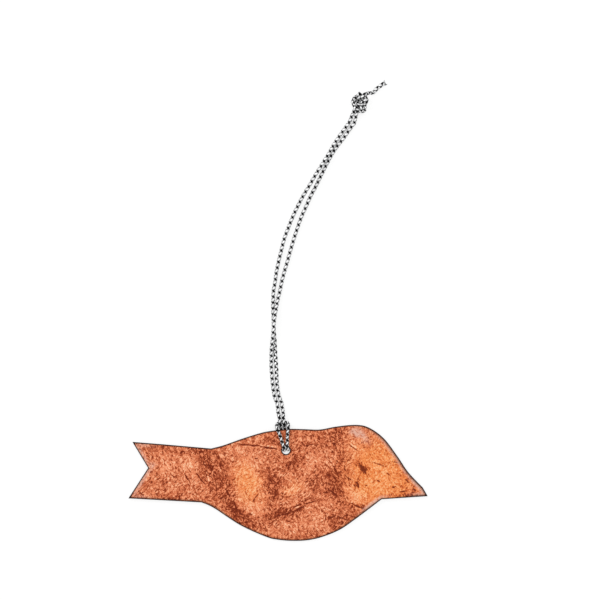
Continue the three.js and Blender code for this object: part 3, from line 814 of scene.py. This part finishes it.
# %% Running the tree on each stretch
names = {
    "long_tail": "knot_strand_with_long_tail", "left_strand": "left_cord_strand", "hitch": "hitched_cord",
    "right_strand": "right_cord_strand", "short_tail": "knot_strand_with_short_tail",
}
fray_length, fray_most = 1.6 * MM, 0.45
rest_level = 0.01 * MM
knot_drawn_share = 0.25  # how far the knot's strands count as drawn in, beside the hitch: less painted edge and dive shade on their yarns, and a smaller core


def braided(name, stretch):
    """A braided cord along one stretch, as a plain mesh object."""
    line = stretch["shown"]
    data = bpy.data.meshes.new(name + "_line")
    data.from_pydata([tuple(point) for point in line], [(i, i + 1) for i in range(len(line) - 1)], [])
    tips = np.minimum(stretch["arc"], whole_length - stretch["arc"])
    fray = fray_most * np.clip(1 - tips / fray_length, 0, 1) ** 2
    drawn = np.clip((cord_diameter - 2 * stretch["radius"]) / (cord_diameter - drawn_look), 0, 1)
    drawn *= 1 if name == names["hitch"] else knot_drawn_share
    numbers = {"arc": stretch["arc"], "cord_radius": stretch["radius"], "fray": fray, "drawn": drawn}
    for key, values in numbers.items():
        data.attributes.new(key, "FLOAT", "POINT").data.foreach_set("value", values.astype(np.float32))
    sides = data.attributes.new("side", "FLOAT_VECTOR", "POINT").data
    sides.foreach_set("vector", np.ravel(stretch["sides"]).astype(np.float32))
    materials = {"Yarn material": silver_yarn, "Core material": black_core}
    mesh = plain_mesh(name, data, braid, {**braid_inputs, **materials})
    corners = np.empty(3 * len(mesh.vertices), np.float32)
    mesh.vertices.foreach_get("co", corners)
    corners[2::3] = np.maximum(corners[2::3], rest_level)  # the table presses the lowest yarns flat
    mesh.vertices.foreach_set("co", corners)
    return shown_piece(mesh)


cord = {key: braided(names[key], stretch) for key, stretch in stretches.items()}
for key, piece in cord.items():
    triangles = sum(len(face.vertices) - 2 for face in piece.data.polygons)
    print(f"{piece.name}: {triangles} triangles")

# %% [markdown]
# ## How the cord rides
# The hitch swings with its own body, and the knot's two strands with their tails belong to the loop. The two
# free strands start at the fold line and stay where they lie. The solids that the cord stands for are hidden.

# %% Riding of the cord, and hiding its solids
for key, body in (("hitch", "hitch"), ("long_tail", "cord_loop"), ("short_tail", "cord_loop")):
    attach(cord[key], body)
for key in ("left_strand", "right_strand"):
    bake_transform(cord[key])
for key, piece in cord.items():
    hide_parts(solid_of[key])

# %% [markdown]
# ## The shell's form
# Capiz is the flat, see-through shell of a window-pane oyster. It is cut to shape, drilled, and ground
# slightly round along its edges. Its layers flake, so the flat faces are never quite even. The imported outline
# and hole give the exact edge. Between them both faces are filled with small triangles, so that the
# surface can be uneven and can carry the dye's patches.

# %% Outline, hole and rounded edges
def divided(loop, longest):
    """A closed loop with its long sides divided."""
    parts = []
    for a, b in zip(loop, np.roll(loop, -1, axis=0)):
        count = int(np.ceil(np.linalg.norm(b - a) / longest))
        parts.append(a + (b - a) * np.arange(count)[:, None] / count)
    return np.vstack(parts)


def signed_area(loop):
    """Area of a closed loop: above 0 where it runs anticlockwise."""
    x, y = loop.T
    return np.sum(x * np.roll(y, -1) - np.roll(x, -1) * y) / 2


def inset(loop, distance):
    """A loop moved to its left, into the shell, with its corners kept sharp."""
    back, forth = loop - np.roll(loop, 1, axis=0), np.roll(loop, -1, axis=0) - loop
    back /= np.linalg.norm(back, axis=1, keepdims=True)
    forth /= np.linalg.norm(forth, axis=1, keepdims=True)
    left = np.column_stack([-(back + forth)[:, 1], (back + forth)[:, 0]])
    left /= np.linalg.norm(left, axis=1, keepdims=True)
    corner = np.einsum("ij,ij->i", left, np.column_stack([-back[:, 1], back[:, 0]]))
    return loop + left * distance / np.maximum(corner, 0.4)[:, None]


rim_step = 0.5 * MM
rim = divided(outline if signed_area(outline) > 0 else outline[::-1], rim_step)
bore = hole_rim if signed_area(hole_rim) < 0 else hole_rim[::-1]
print(f"rim: {len(rim)} points, hole: {len(bore)} points")

# %% [markdown]
# The faces are filled with points on a slightly shaken grid of equilateral triangles, 0.6 mm apart, and a
# constrained triangulation joins them to the rim. Each point also keeps its distance from the nearest edge,
# because the cut edge is darker and thinner than the rest.

# %% Points of the faces
def inside(points, loop):
    """Which points lie inside a closed loop, by counting crossings to the right."""
    a, b = loop, np.roll(loop, -1, axis=0)
    x, y = points[:, 0:1], points[:, 1:2]
    straddles = (a[:, 1] > y) != (b[:, 1] > y)
    with np.errstate(divide="ignore", invalid="ignore"):
        crossing = a[:, 0] + (y - a[:, 1]) / (b[:, 1] - a[:, 1]) * (b[:, 0] - a[:, 0])
    return (straddles & (x < crossing)).sum(axis=1) % 2 == 1


def edge_distance(points):
    """Distance of each point from the nearest edge, of the outline or the hole."""
    edges = np.vstack([divided(rim, 0.2 * MM), bore])
    return np.concatenate([np.min(np.linalg.norm(part[:, None] - edges[None], axis=2), axis=1)
                           for part in np.array_split(points, 12)])


grid_step, grid_margin = 0.6 * MM, 0.3 * MM
shake = 0.15  # of a step
low, high = rim.min(axis=0), rim.max(axis=0)
rows = np.arange(low[1], high[1], grid_step * np.sqrt(3) / 2)
grid = np.array([(x + (n % 2) * grid_step / 2, y) for n, y in enumerate(rows)
                 for x in np.arange(low[0], high[0], grid_step)])
grid += np.random.default_rng(4).uniform(-shake, shake, grid.shape) * grid_step
grid = grid[inside(grid, rim) & ~inside(grid, bore)]
grid = grid[edge_distance(grid) > edge_rounding + grid_margin]
print(f"{len(grid)} points inside each face")

# %% Both faces and the edges as one closed mesh
def shell_mesh():
    """The flat shell with rounded edges, as points in its own plane with a height, and triangles."""
    angles = np.radians([0, 30, 60, 90])
    profile = [(edge_rounding * (1 - np.cos(a)), shell_thickness / 2 - edge_rounding * (1 - np.sin(a)))
               for a in angles]
    profile = [(inward, -height) for inward, height in reversed(profile)] + profile
    points, triangles, face_rings = [], [], []
    for loop in (rim, bore):
        rings = []
        for inward, height in profile:
            ring = inset(loop, inward)
            rings.append(len(points) + np.arange(len(ring)))
            points += [(x, y, height) for x, y in ring]
        for lower, upper in zip(rings, rings[1:]):
            for i in range(len(loop)):
                j = (i + 1) % len(loop)
                triangles += [(lower[i], lower[j], upper[j]), (lower[i], upper[j], upper[i])]
        face_rings.append((rings[0], rings[-1]))
    contour = [ring[-1] for ring in face_rings]
    flat = [points[i][:2] for ring in contour for i in ring] + [tuple(point) for point in grid]
    sides, start = [], 0
    for ring in contour:
        sides += [(start + i, start + (i + 1) % len(ring)) for i in range(len(ring))]
        start += len(ring)
    filled = geometry.delaunay_2d_cdt([tuple(p) for p in flat], sides, [], 1, 1e-9)
    places, faces, origins = filled[0], filled[2], filled[3]
    middles = np.array([np.mean([places[i] for i in face], axis=0) for face in faces])
    keep = inside(middles, np.array([points[i][:2] for i in contour[0]]))
    keep &= ~inside(middles, np.array([points[i][:2] for i in contour[1]]))
    for which, height in ((1, shell_thickness / 2), (0, -shell_thickness / 2)):
        known = np.concatenate([ring[which] for ring in face_rings])
        base = len(points)
        points += [(x, y, height) for x, y in grid]
        own = [int(known[origin[0]]) if origin[0] < len(known) else base + origin[0] - len(known)
               for origin in origins]
        for face, wanted in zip(faces, keep):
            if wanted:
                face = [own[i] for i in face]
                triangles.append(tuple(face if which else face[::-1]))
    return np.array(points), triangles


shell_points, shell_triangles = shell_mesh()
print(f"shell: {len(shell_points)} points, {len(shell_triangles)} triangles")

# %% [markdown]
# ## Where the dye took
# The shell was dyed copper, and the dye took unevenly: brightest on the head, lighter on the belly, dark
# across the root of the tail and down the neck, where the shell's layers are rough. Each patch is a soft
# oval, placed from the hole in millimetres, with its half sizes, its turn in degrees and how much it
# lightens (above 0) or darkens (below 0). The ovals are bent by noise, so none of them shows as an oval.
# The other lists are patches of the same kind: where the shell is pale, where its dye is more orange, where
# the sawn edge shows as a wide dark line, and where the shell is thin along its edge.

# %% Patches of dye
dye_patches = [
    (-22.4, -11.0, 13.5, 3.9, -61, -0.26), (-16.1, -22.0, 5.5, 3.0, -45, -0.16),
    (-28.6, -0.6, 4.5, 2.5, -20, -0.12), (-4.6, 3.1, 4.5, 2.2, 0, -0.16), (4.0, -1.6, 5.0, 2.6, 55, -0.18),
    (-4.1, -10.5, 6.5, 2.9, -75, -0.24), (-3.6, -15.2, 3.6, 2.6, 0, -0.16), (1.1, -4.8, 4.2, 1.9, 50, -0.14),
    (18.1, -1.1, 10.5, 3.0, -85, -0.17), (17.1, -10.0, 6.0, 3.4, -80, -0.13),
    (11.6, -10.5, 7.0, 5.0, 0, -0.10), (18.4, -16.2, 5.0, 2.4, -40, -0.15),
    (17.3, -23.6, 5.0, 2.5, 15, -0.20), (3.7, -19.4, 6.5, 1.5, 25, -0.18), (-4.6, -22.5, 5.0, 3.4, 20, -0.17),
    (0.6, -21.5, 5.0, 2.5, 15, -0.12), (6.4, -29.8, 5.0, 2.0, 0, -0.10), (-13.0, -23.6, 7.0, 1.6, -33, -0.14),
    (-36.0, -16.2, 10.0, 1.2, -2, -0.14), (25.9, -6.1, 2.7, 1.7, -50, -0.52),
    (24.4, -11.3, 1.9, 1.2, 65, -0.42), (26.2, -19.9, 2.3, 1.0, -50, -0.22), (11.1, 4.1, 8.0, 2.5, 0, -0.06),
    (-38.0, 0.6, 12.0, 1.3, -2, -0.12), (-38.0, -11.5, 9.0, 2.5, 0, -0.05), (40.0, -15.4, 7.5, 0.9, 1, -0.26),
    (-13.0, -11.0, 8.0, 5.0, -65, 0.2), (-10.4, -20.4, 4.8, 3.0, -40, 0.16), (1.9, -13.1, 3.4, 2.2, 40, 0.18),
    (10.0, -3.7, 6.0, 3.0, 20, 0.09), (-10.4, -2.7, 6.0, 3.0, -20, 0.06), (-1.0, -25.6, 4.0, 2.0, 0, 0.12),
    (11.1, -24.6, 4.0, 3.0, 20, 0.08), (31.0, -8.0, 9.0, 12.0, 0, 0.22), (23.1, -15.2, 4.0, 3.0, 0, 0.14),
    (22.5, 1.5, 3.0, 5.0, 0, 0.10), (-33.3, -5.3, 5.0, 3.0, -50, 0.12), (-40.0, -7.0, 9.0, 6.0, 0, 0.03),
]
pale_patches = [
    (24.6, 6.4, 2.4, 2.0, -20, 0.75), (26.5, 5.0, 3.0, 1.2, -35, 0.5), (-45.6, -5.6, 1.0, 1.4, 0, 0.6),
]
warm_patches = [
    (33.0, -8.0, 13.0, 14.0, 0, 1.3), (-13.0, -11.0, 7.5, 5.0, -65, 0.85), (2.0, -13.0, 4.0, 2.6, 40, 0.4),
]
wide_rims = [
    (-36.0, -17.6, 22.0, 3.0, -2, 1.0), (-17.0, -24.0, 14.0, 3.0, -33, 0.7), (3.0, -31.5, 14.0, 3.0, 5, 0.7),
    (38.0, -4.5, 18.0, 3.5, -52, 1.3), (44.0, -17.0, 8.0, 2.0, 0, 0.8), (23.0, -23.0, 12.0, 3.0, 38, 0.9),
]
thin_edges = [
    (-50.2, -6.5, 10.5, 5.0, 90, 0.9), (36.0, 0.5, 9.0, 4.0, -52, 0.7), (46.0, -11.5, 8.0, 4.0, -45, 1.0),
    (29.6, -18.2, 5.5, 3.0, 33, 1.0),
]
wide_bend, narrow_bend = (5, 1.5), (1.7, 0.9)  # how wide the bends of the ovals are, and how far they go
oval_fall, oval_power = 1.1, 1.5  # how much an oval fades by its rim, and how flat it is inside
plain_dye, dye_strength = 0.51, 0.85
thin_rim, wider_rim = 0.55, 0.45


def wandering(x, y, seeds):
    """How far noise moves one place, by a wide bend and a narrow one."""
    return sum(far * noise.noise((x / wide, y / wide, seed))
               for (wide, far), seed in zip((wide_bend, narrow_bend), seeds))


def patch_values(points, patches):
    """What the soft patches add up to at each point of the shell, in millimetres from the hole."""
    bent = np.array([(x + wandering(x, y, (3.1, 7.7)), y + wandering(x, y, (11.3, 17.9)))
                     for x, y in points])
    total = np.zeros(len(points))
    for x, y, long, wide, degrees, amount in patches:
        turn = np.radians(degrees)
        along = (bent - (x, y)) @ (np.cos(turn), np.sin(turn))
        aside = (bent - (x, y)) @ (-np.sin(turn), np.cos(turn))
        total += amount * np.exp(-oval_fall * ((along / long) ** 2 + (aside / wide) ** 2) ** oval_power)
    return total


in_mm = shell_points[:, :2] / MM
shell_values = {
    "dye": plain_dye + dye_strength * patch_values(in_mm, dye_patches),
    "pale": np.clip(patch_values(in_mm, pale_patches), 0, 1),
    "warm": np.clip(patch_values(in_mm, warm_patches), 0, 1),
    "thin_edge": np.clip(patch_values(in_mm, thin_edges), 0, 1),
    "rim_mm": thin_rim + wider_rim * np.clip(patch_values(in_mm, wide_rims), 0, 1),
    "edge_mm": edge_distance(shell_points[:, :2]) / MM,
}
print(f"dye from {shell_values['dye'].min():.2f} to {shell_values['dye'].max():.2f}")

# %% [markdown]
# ## An uneven face
# The faces of the real shell rise and fall by a few hundredths of a millimetre, where layers have flaked.
# A small node tree moves each point along its normal by two noises, a wide one and a narrow one. It leaves
# the edge alone, so the outline stays exact.

# %% Relief of the faces as a node tree
relief_inputs = {
    "Wide height": 0.16 * MM, "Flake height": 0.06 * MM, "Wide scale": 60.0, "Flake scale": 500.0,
}
relief_none, relief_full = 0.2, 1.4  # millimetres from the edge


def relief_tree():
    """Geometry Nodes that move the faces of the shell up and down."""
    tree = bpy.data.node_groups.new("Flaked relief", "GeometryNodeTree")
    tree.interface.new_socket("Shell", in_out="INPUT", socket_type="NodeSocketGeometry")
    for name in relief_inputs:
        tree.interface.new_socket(name, in_out="INPUT", socket_type="NodeSocketFloat")
    tree.interface.new_socket("Material", in_out="INPUT", socket_type="NodeSocketMaterial")
    tree.interface.new_socket("Shell", in_out="OUTPUT", socket_type="NodeSocketGeometry")
    given = add(tree, "NodeGroupInput").node.outputs
    place = add(tree, "GeometryNodeInputPosition")
    heights = []
    for size, height in (("Wide scale", "Wide height"), ("Flake scale", "Flake height")):
        value = add(tree, "ShaderNodeTexNoise", {"Vector": place, "Scale": given[size], "Detail": 2.0})
        centred = add(tree, "ShaderNodeMath", {0: value, 1: 0.5}, operation="SUBTRACT")
        heights.append(add(tree, "ShaderNodeMath", {0: centred, 1: given[height]}, operation="MULTIPLY"))
    both = add(tree, "ShaderNodeMath", {0: heights[0], 1: heights[1]}, operation="ADD")
    from_edge = add(tree, "GeometryNodeInputNamedAttribute", {0: "edge_mm"}, data_type="FLOAT")
    inner = add(tree, "ShaderNodeMapRange", {
        "Value": from_edge, "From Min": relief_none, "From Max": relief_full,
    }, interpolation_type="SMOOTHSTEP")
    height = add(tree, "ShaderNodeMath", {0: both, 1: inner}, operation="MULTIPLY")
    offset = add(tree, "ShaderNodeVectorMath", {0: add(tree, "GeometryNodeInputNormal"), "Scale": height},
                 operation="SCALE")
    moved = add(tree, "GeometryNodeSetPosition", {"Geometry": given["Shell"], "Offset": offset})
    real = add(tree, "GeometryNodeRealizeInstances", {0: moved})
    done = add(tree, "GeometryNodeSetMaterial", {"Geometry": real, "Material": given["Material"]})
    tree.links.new(done, tree.nodes.new("NodeGroupOutput").inputs[0])
    return tree


relief = relief_tree()
print(f"relief tree: {len(relief.nodes)} nodes")

# %% [markdown]
# ## Dyed capiz
# Capiz is layered calcium carbonate, the stuff of mother-of-pearl, dyed here in copper and orange. Close to,
# it shows a fine crinkle of broken layers, darker in its valleys, over cloudy patches of dye. The surface is
# satin: the layers scatter light, and only their smooth parts shine a little. Four sizes of pattern make it:
# the patches above, clouds of about 3 mm, folds of about 1 mm, and a crinkle of about 0.7 mm. Folds and
# crinkle run two ways. Thin places near the edge let light through and look pale and pinkish, and the sawn
# edge itself is nearly black.

# %% Shell material
# Capiz shell, dyed and sawn: cloudy copper with a fine crinkle and a satin gloss
dyed_capiz, tree, shader = new_material("capiz_shell_dyed_copper")
place = add(tree, "ShaderNodeTexCoord", {}, "Object")
stored = {name: add(tree, "ShaderNodeAttribute", {}, "Fac", attribute_name=name) for name in shell_values}
crinkle_scale, crinkle_width = 1400.0, 0.15
fold_scale, fold_width = 940.0, 0.11
drawn_out = 1.8  # how much longer than wide the crinkle and the folds are


def lines_one_way(degrees, scale, width, seed):
    """Short wandering lines that mostly run one way: 1 along them and 0 between them."""
    turned_place = add(tree, "ShaderNodeMapping", {
        "Vector": place, "Rotation": (0, 0, np.radians(degrees)), "Scale": (drawn_out, 1.0, 1.0),
    }, vector_type="TEXTURE")
    value = add(tree, "ShaderNodeTexNoise", {
        "Vector": turned_place, "W": seed, "Scale": scale, "Detail": 1.0, "Distortion": 0.8,
    }, noise_dimensions="4D")
    to_one_side = add(tree, "ShaderNodeMath", {0: value, 1: 0.5}, operation="SUBTRACT")
    from_line = add(tree, "ShaderNodeMath", {0: to_one_side}, operation="ABSOLUTE")
    return add(tree, "ShaderNodeMapRange",
               {"Value": from_line, "From Max": width, "To Min": 1.0, "To Max": 0.0})


def lines_two_ways(degrees, scale, width, seeds):
    """Such lines that run one way in some places and another way in others."""
    one, other = (lines_one_way(way, scale, width, seed) for way, seed in zip(degrees, seeds))
    return add(tree, "ShaderNodeMix", {0: which_way, 2: one, 3: other}, 0)


clouds = add(tree, "ShaderNodeTexNoise", {"Vector": place, "Scale": 330.0, "Detail": 3.0, "Distortion": 0.6})
ways = add(tree, "ShaderNodeTexNoise", {"Vector": place, "Scale": 260.0, "Detail": 2.0})
which_way = add(tree, "ShaderNodeMapRange", {"Value": ways, "From Min": 0.46, "From Max": 0.54})
fine = lines_two_ways((-54, 44), crinkle_scale, crinkle_width, (0.0, 3.0))
folds = lines_two_ways((-60, 48), fold_scale, fold_width, (6.0, 9.0))

# %% [markdown]
# Longer creases are cracks between layers, and specks are pits in them. Each line is given between
# two places, in millimetres from the hole, with half its width, and it ends in soft points. A small warp
# keeps the lines from looking ruled. A few lines are painted light: bright where a layer has lifted and lets
# light through.

# %% Creases and specks
dark_lines = [
    (-34.8, -7.5, -32.4, -11.5, 0.30), (-30.7, -7.7, -27.4, -11.7, 0.30), (-39.2, -8.0, -37.9, -9.3, 0.22),
    (-50.3, -13.8, -48.8, -15.3, 0.26), (-17.5, 2.4, -7.6, 1.3, 0.40), (-9.5, 1.4, -2.6, 0.3, 0.40),
    (6.3, 1.4, 9.3, 2.2, 0.26), (2.5, -19.4, 5.3, -18.3, 0.32), (3.0, -20.6, 6.5, -18.9, 0.42),
    (-3.5, -22.7, 3.0, -20.6, 0.26), (6.3, -18.4, 11.5, -16.9, 0.22), (-11.5, -17.7, -9.5, -14.7, 0.26),
    (-17.8, -17.2, -16.5, -21.4, 0.42), (-20.6, -13.0, -18.8, -16.4, 0.36), (14.3, -13.0, 17.5, -15.8, 0.36),
    (12.8, -14.6, 14.7, -14.4, 0.24), (21.4, 2.1, 25.0, -0.5, 0.28), (20.7, -9.1, 22.2, -10.1, 0.30),
    (22.0, -17.9, 27.0, -20.4, 0.34), (14.5, -23.5, 17.1, -22.3, 0.36), (17.1, -22.3, 19.7, -23.4, 0.30),
    (28.9, -3.8, 34.6, -5.8, 0.24), (35.6, -3.6, 38.9, -4.6, 0.20), (-26.2, -4.6, -25.6, -6.6, 0.34),
    (-24.6, -4.9, -25.4, -7.2, 0.30), (24.8, -4.4, 27.4, -7.9, 0.50), (24.0, -10.6, 24.9, -12.4, 0.40),
    (-10.5, -2.9, -9.7, -2.9, 0.34), (-12.2, -21.4, -11.6, -22.0, 0.34), (16.0, 2.4, 16.7, 2.1, 0.40),
    (19.9, -6.2, 20.2, -6.8, 0.30), (31.0, -10.4, 31.8, -10.6, 0.40), (27.2, -12.0, 27.6, -12.1, 0.34),
    (36.2, -12.8, 37.4, -12.5, 0.34), (40.6, -9.6, 42.0, -11.0, 0.30), (34.4, -7.6, 35.6, -8.8, 0.26),
    (38.4, -14.2, 41.0, -14.0, 0.30), (43.4, -13.0, 44.2, -13.8, 0.30),
]  # from x and y, to x and y, half width
# Painted highlights: bright lines beside some creases, as light on layers that have lifted
crease_highlight_lines = [
    (-7.0, 1.35, -3.8, 1.1, 0.30), (2.2, -0.9, 5.0, 0.2, 0.24), (-23.2, -5.2, -21.9, -7.5, 0.34),
    (21.9, 2.4, 24.2, 0.8, 0.26), (-46.9, -16.0, -46.2, -16.4, 0.45), (-32.4, -5.5, -31.9, -5.9, 0.50),
    (-27.2, -7.5, -26.0, -10.8, 0.30), (2.8, -20.0, 5.6, -18.6, 0.22),
]
warp = 0.8 * MM
bend = add(tree, "ShaderNodeVectorMath", {
    0: add(tree, "ShaderNodeTexNoise", {"Vector": place, "Scale": 420.0, "Detail": 2.0}, "Color"),
    1: (0.5, 0.5, 0.5)}, operation="SUBTRACT")
bent_place = add(tree, "ShaderNodeVectorMath", {0: bend, 1: (warp, warp, 0), 2: place},
                 operation="MULTIPLY_ADD")


def drawn_lines(lines):
    """All the lines together: 1 along their middles, falling off to 0 at their sides and ends."""
    together = None
    for x1, y1, x2, y2, wide in lines:
        centre = hole_centre + ((x1 + x2) * shell_along + (y1 + y2) * shell_up) * MM / 2
        long = np.hypot(x2 - x1, y2 - y1) / 2 + wide
        own = add(tree, "ShaderNodeMapping", {
            "Vector": bent_place, "Location": tuple(centre), "Rotation": (0, 0, np.arctan2(y2 - y1, x2 - x1)),
            "Scale": (long * MM, wide * MM, 1)}, vector_type="TEXTURE")
        spot = add(tree, "ShaderNodeTexGradient", {"Vector": own}, "Fac", gradient_type="SPHERICAL")
        if together is None:
            together = spot
        else:
            together = add(tree, "ShaderNodeMath", {0: together, 1: spot}, operation="MAXIMUM")
    return add(tree, "ShaderNodeMapRange", {"Value": together, "From Max": 0.5})


creased, painted_highlights = drawn_lines(dark_lines), drawn_lines(crease_highlight_lines)
print(f"{len(dark_lines)} dark and {len(crease_highlight_lines)} bright lines")

# %% [markdown]
# All of it adds up to one tone from 0, dark, to 1, bright, and the tone picks the colour. Where the dye is
# dark the layers are rougher, so crinkle and folds are stronger there. The ridges of the crinkle are bright,
# and the folds and creases are dark.

# %% Tone and colour of the shell
tone_shift, cloud_middle, crinkle_middle = 0.13, 0.5, 0.4
cloud_light, crinkle_light, fold_light = 0.40, 0.46, -0.31
rough_crinkle, rough_fold = 0.16, -0.30  # what rough places add to the last two
all_rough, all_smooth = 0.3, 0.62  # values of the dye
# the painted highlights brighten the tone and the creases darken it
highlight_light, crease_light = 0.45, -0.65
roughened = add(tree, "ShaderNodeMapRange", {
    "Value": stored["dye"], "From Min": all_rough, "From Max": all_smooth, "To Min": 1.0, "To Max": 0.0})
clouds, ridges = (add(tree, "ShaderNodeMath", {0: pattern, 1: middle}, operation="SUBTRACT")
                  for pattern, middle in ((clouds, cloud_middle), (fine, crinkle_middle)))
ridge_light, valley_light = (
    add(tree, "ShaderNodeMath", {0: roughened, 1: more, 2: least}, operation="MULTIPLY_ADD")
    for more, least in ((rough_crinkle, crinkle_light), (rough_fold, fold_light)))
tone = add(tree, "ShaderNodeMath", {0: stored["dye"], 1: tone_shift}, operation="ADD")
for pattern, light in ((clouds, cloud_light), (ridges, ridge_light), (folds, valley_light),
                       (painted_highlights, highlight_light), (creased, crease_light)):
    tone = add(tree, "ShaderNodeMath", {0: pattern, 1: light, 2: tone}, operation="MULTIPLY_ADD")

copper_shades = ("#742406", "#A04420", "#D67249", "#F79A6C", "#FFC69E")  # for tones 0, 1/4, 1/2, 3/4 and 1
orange_shades = ("#7A2C0C", "#AE4C20", "#E0743A", "#F8924E", "#FFBC84")
dyes = []
for shades in (copper_shades, orange_shades):
    ramp = add(tree, "ShaderNodeValToRGB", {"Fac": tone}).node
    stops = ramp.color_ramp.elements
    for n in range(1, len(shades) - 1):
        stops.new(n / (len(shades) - 1))
    for stop, shade in zip(stops, shades):
        stop.color = colour(shade)
    dyes.append(ramp.outputs["Color"])
dyed = add(tree, "ShaderNodeMix", {0: stored["warm"], 6: dyes[0], 7: dyes[1]}, 2, data_type="RGBA")

strip_from, strip_to, dark_rim = 0.9, 1.7, 0.22  # millimetres from the edge
least_thin = 0.3  # between the ridges of the crinkle
near_edge = add(tree, "ShaderNodeMapRange", {
    "Value": stored["edge_mm"], "From Min": strip_from, "From Max": strip_to, "To Min": 1.0, "To Max": 0.0})
strip = add(tree, "ShaderNodeMath", {0: stored["thin_edge"], 1: near_edge}, operation="MULTIPLY")
pale = add(tree, "ShaderNodeMath", {0: strip, 1: stored["pale"]}, operation="MAXIMUM")
crinkled = add(tree, "ShaderNodeMath", {0: fine, 1: least_thin}, operation="ADD")
thin = add(tree, "ShaderNodeMath", {0: pale, 1: crinkled}, operation="MULTIPLY", use_clamp=True)
thinned = add(tree, "ShaderNodeMix", {0: thin, 6: dyed, 7: colour("#E8B49E")}, 2, data_type="RGBA")
rim_share = add(tree, "ShaderNodeMapRange", {
    "Value": stored["edge_mm"], "From Min": dark_rim, "From Max": stored["rim_mm"],
    "To Min": 1.0, "To Max": 0.0})
edged = add(tree, "ShaderNodeMix", {0: rim_share, 6: thinned, 7: colour("#260D07")}, 2, data_type="RGBA")
tree.links.new(edged, shader.inputs["Base Color"])

rough = add(tree, "ShaderNodeMapRange", {"Value": fine, "To Min": 0.6, "To Max": 0.4})
tree.links.new(rough, shader.inputs["Roughness"])
height = fine
crease_depth, fold_depth = -0.8, -0.6  # beside the crinkle's height of 1
for pattern, depth in ((folds, fold_depth), (creased, crease_depth)):
    height = add(tree, "ShaderNodeMath", {0: pattern, 1: depth, 2: height}, operation="MULTIPLY_ADD")
relief_map = add(tree, "ShaderNodeBump", {"Strength": 0.6, "Distance": 0.12 * MM, "Height": height})
tree.links.new(relief_map, shader.inputs["Normal"])
shader.inputs["IOR"].default_value = 1.53
shader.inputs["Specular IOR Level"].default_value = 0.12
print(f"shell material: {len(tree.nodes)} nodes")

# %% [markdown]
# ## The finished shell
# The points are placed in the row frame with the plane that the swing joint gives, the values are stored
# on them, and the relief is run and kept as a plain mesh.

# %% Shell piece
def shell_piece():
    """The finished bird, as a plain mesh object."""
    places = (hole_centre + shell_points[:, 0:1] * shell_along + shell_points[:, 1:2] * shell_up
              + shell_points[:, 2:3] * shell_normal)
    data = bpy.data.meshes.new("flat_shell")
    data.from_pydata([tuple(point) for point in places], [], shell_triangles)
    for key, values in shell_values.items():
        data.attributes.new(key, "FLOAT", "POINT").data.foreach_set("value", values.astype(np.float32))
    data.shade_smooth()
    return shown_piece(plain_mesh("dyed_capiz_bird", data, relief, {**relief_inputs, "Material": dyed_capiz}))


bird = shell_piece()
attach(bird, "bird")
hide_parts("capiz_bird")
open_edges = bmesh.new()
open_edges.from_mesh(bird.data)
print(f"{bird.name}: {len(bird.data.polygons)} faces, "
      f"{sum(not edge.is_manifold for edge in open_edges.edges)} open edges, "
      f"volume {open_edges.calc_volume(signed=True) * 1e9:.0f} mm3")
open_edges.free()

# %% [markdown]
# ## Table and light
# The photograph was taken on white with soft light from all sides. The table is a pale sheet. To the camera
# it is mostly its own light, so that it reads as white, while the part that still answers to the lamps keeps
# the soft shadow under the bird and the cord. A wide lamp above and a smaller one from the upper left give
# the shell and the silver yarns their gentle highlights.

# %% Table
half_table, own_light = 1.5, 0.76
floor_data = bpy.data.meshes.new("table")
table_corners = [(x * half_table, y * half_table, 0) for x, y in ((-1, -1), (1, -1), (1, 1), (-1, 1))]
floor_data.from_pydata(table_corners, [], [(0, 1, 2, 3)])
floor = bpy.data.objects.new("table", floor_data)
white_sheet, tree, shader = new_material("white_card_matt")
shader.inputs["Base Color"].default_value = colour("#8E8E8E")
shader.inputs["Roughness"].default_value = 0.8
rays = add(tree, "ShaderNodeLightPath", {}, "Is Camera Ray")
seen_straight = rays
for kind in ("Is Glossy Ray", "Is Transmission Ray"):
    seen_straight = add(tree, "ShaderNodeMath", {0: seen_straight, 1: rays.node.outputs[kind]},
                        operation="MAXIMUM")
glow = add(tree, "ShaderNodeMath", {0: seen_straight, 1: own_light}, operation="MULTIPLY")
tree.links.new(glow, shader.inputs["Emission Strength"])
shader.inputs["Emission Color"].default_value = (1, 1, 1, 1)
floor.data.materials.append(white_sheet)
scene.collection.objects.link(floor)
floor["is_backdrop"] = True

# %% Lamps and surroundings
world = bpy.data.worlds.new("studio")
scene.world = world
world.use_nodes = True
tree = world.node_tree
background = tree.nodes["Background"]
background.inputs["Color"].default_value = (1, 1, 1, 1)
background.inputs["Strength"].default_value = 0.62


def lamp(name, place, aim, size, power):
    """A round lamp at one place that shines towards another, with its width in metres and its watts."""
    data = bpy.data.lights.new(name, "AREA")
    data.shape, data.size, data.energy = "DISK", size, power
    made = bpy.data.objects.new(name, data)
    made.location = place
    made.rotation_mode = "QUATERNION"
    made.rotation_quaternion = (Vector(aim) - Vector(place)).to_track_quat("-Z", "Y")
    scene.collection.objects.link(made)
    return made


lamps = [lamp("wide_lamp_above", (0.1, 0.2, 1.3), (0, 0.05, 0), 0.9, 5.0),
         lamp("small_lamp_upper_left", (-0.6, 0.7, 0.7), (0, 0.03, 0), 0.3, 3.0)]
print("lamps:", ", ".join(each.name for each in lamps))

# %% [markdown]
# ## Checking the size
# The dressed ornament has to keep the size of its solids, so both boxes are written down side by side.

# %% Sizes, and the end
shown_box = [list(corner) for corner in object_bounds()]
for axis, (was, now) in zip("xyz", zip(zip(*solids_box), zip(*shown_box))):
    print(f"{axis}: solids {was[0] / MM:.2f} to {was[1] / MM:.2f} mm, "
          f"shown {now[0] / MM:.2f} to {now[1] / MM:.2f} mm")
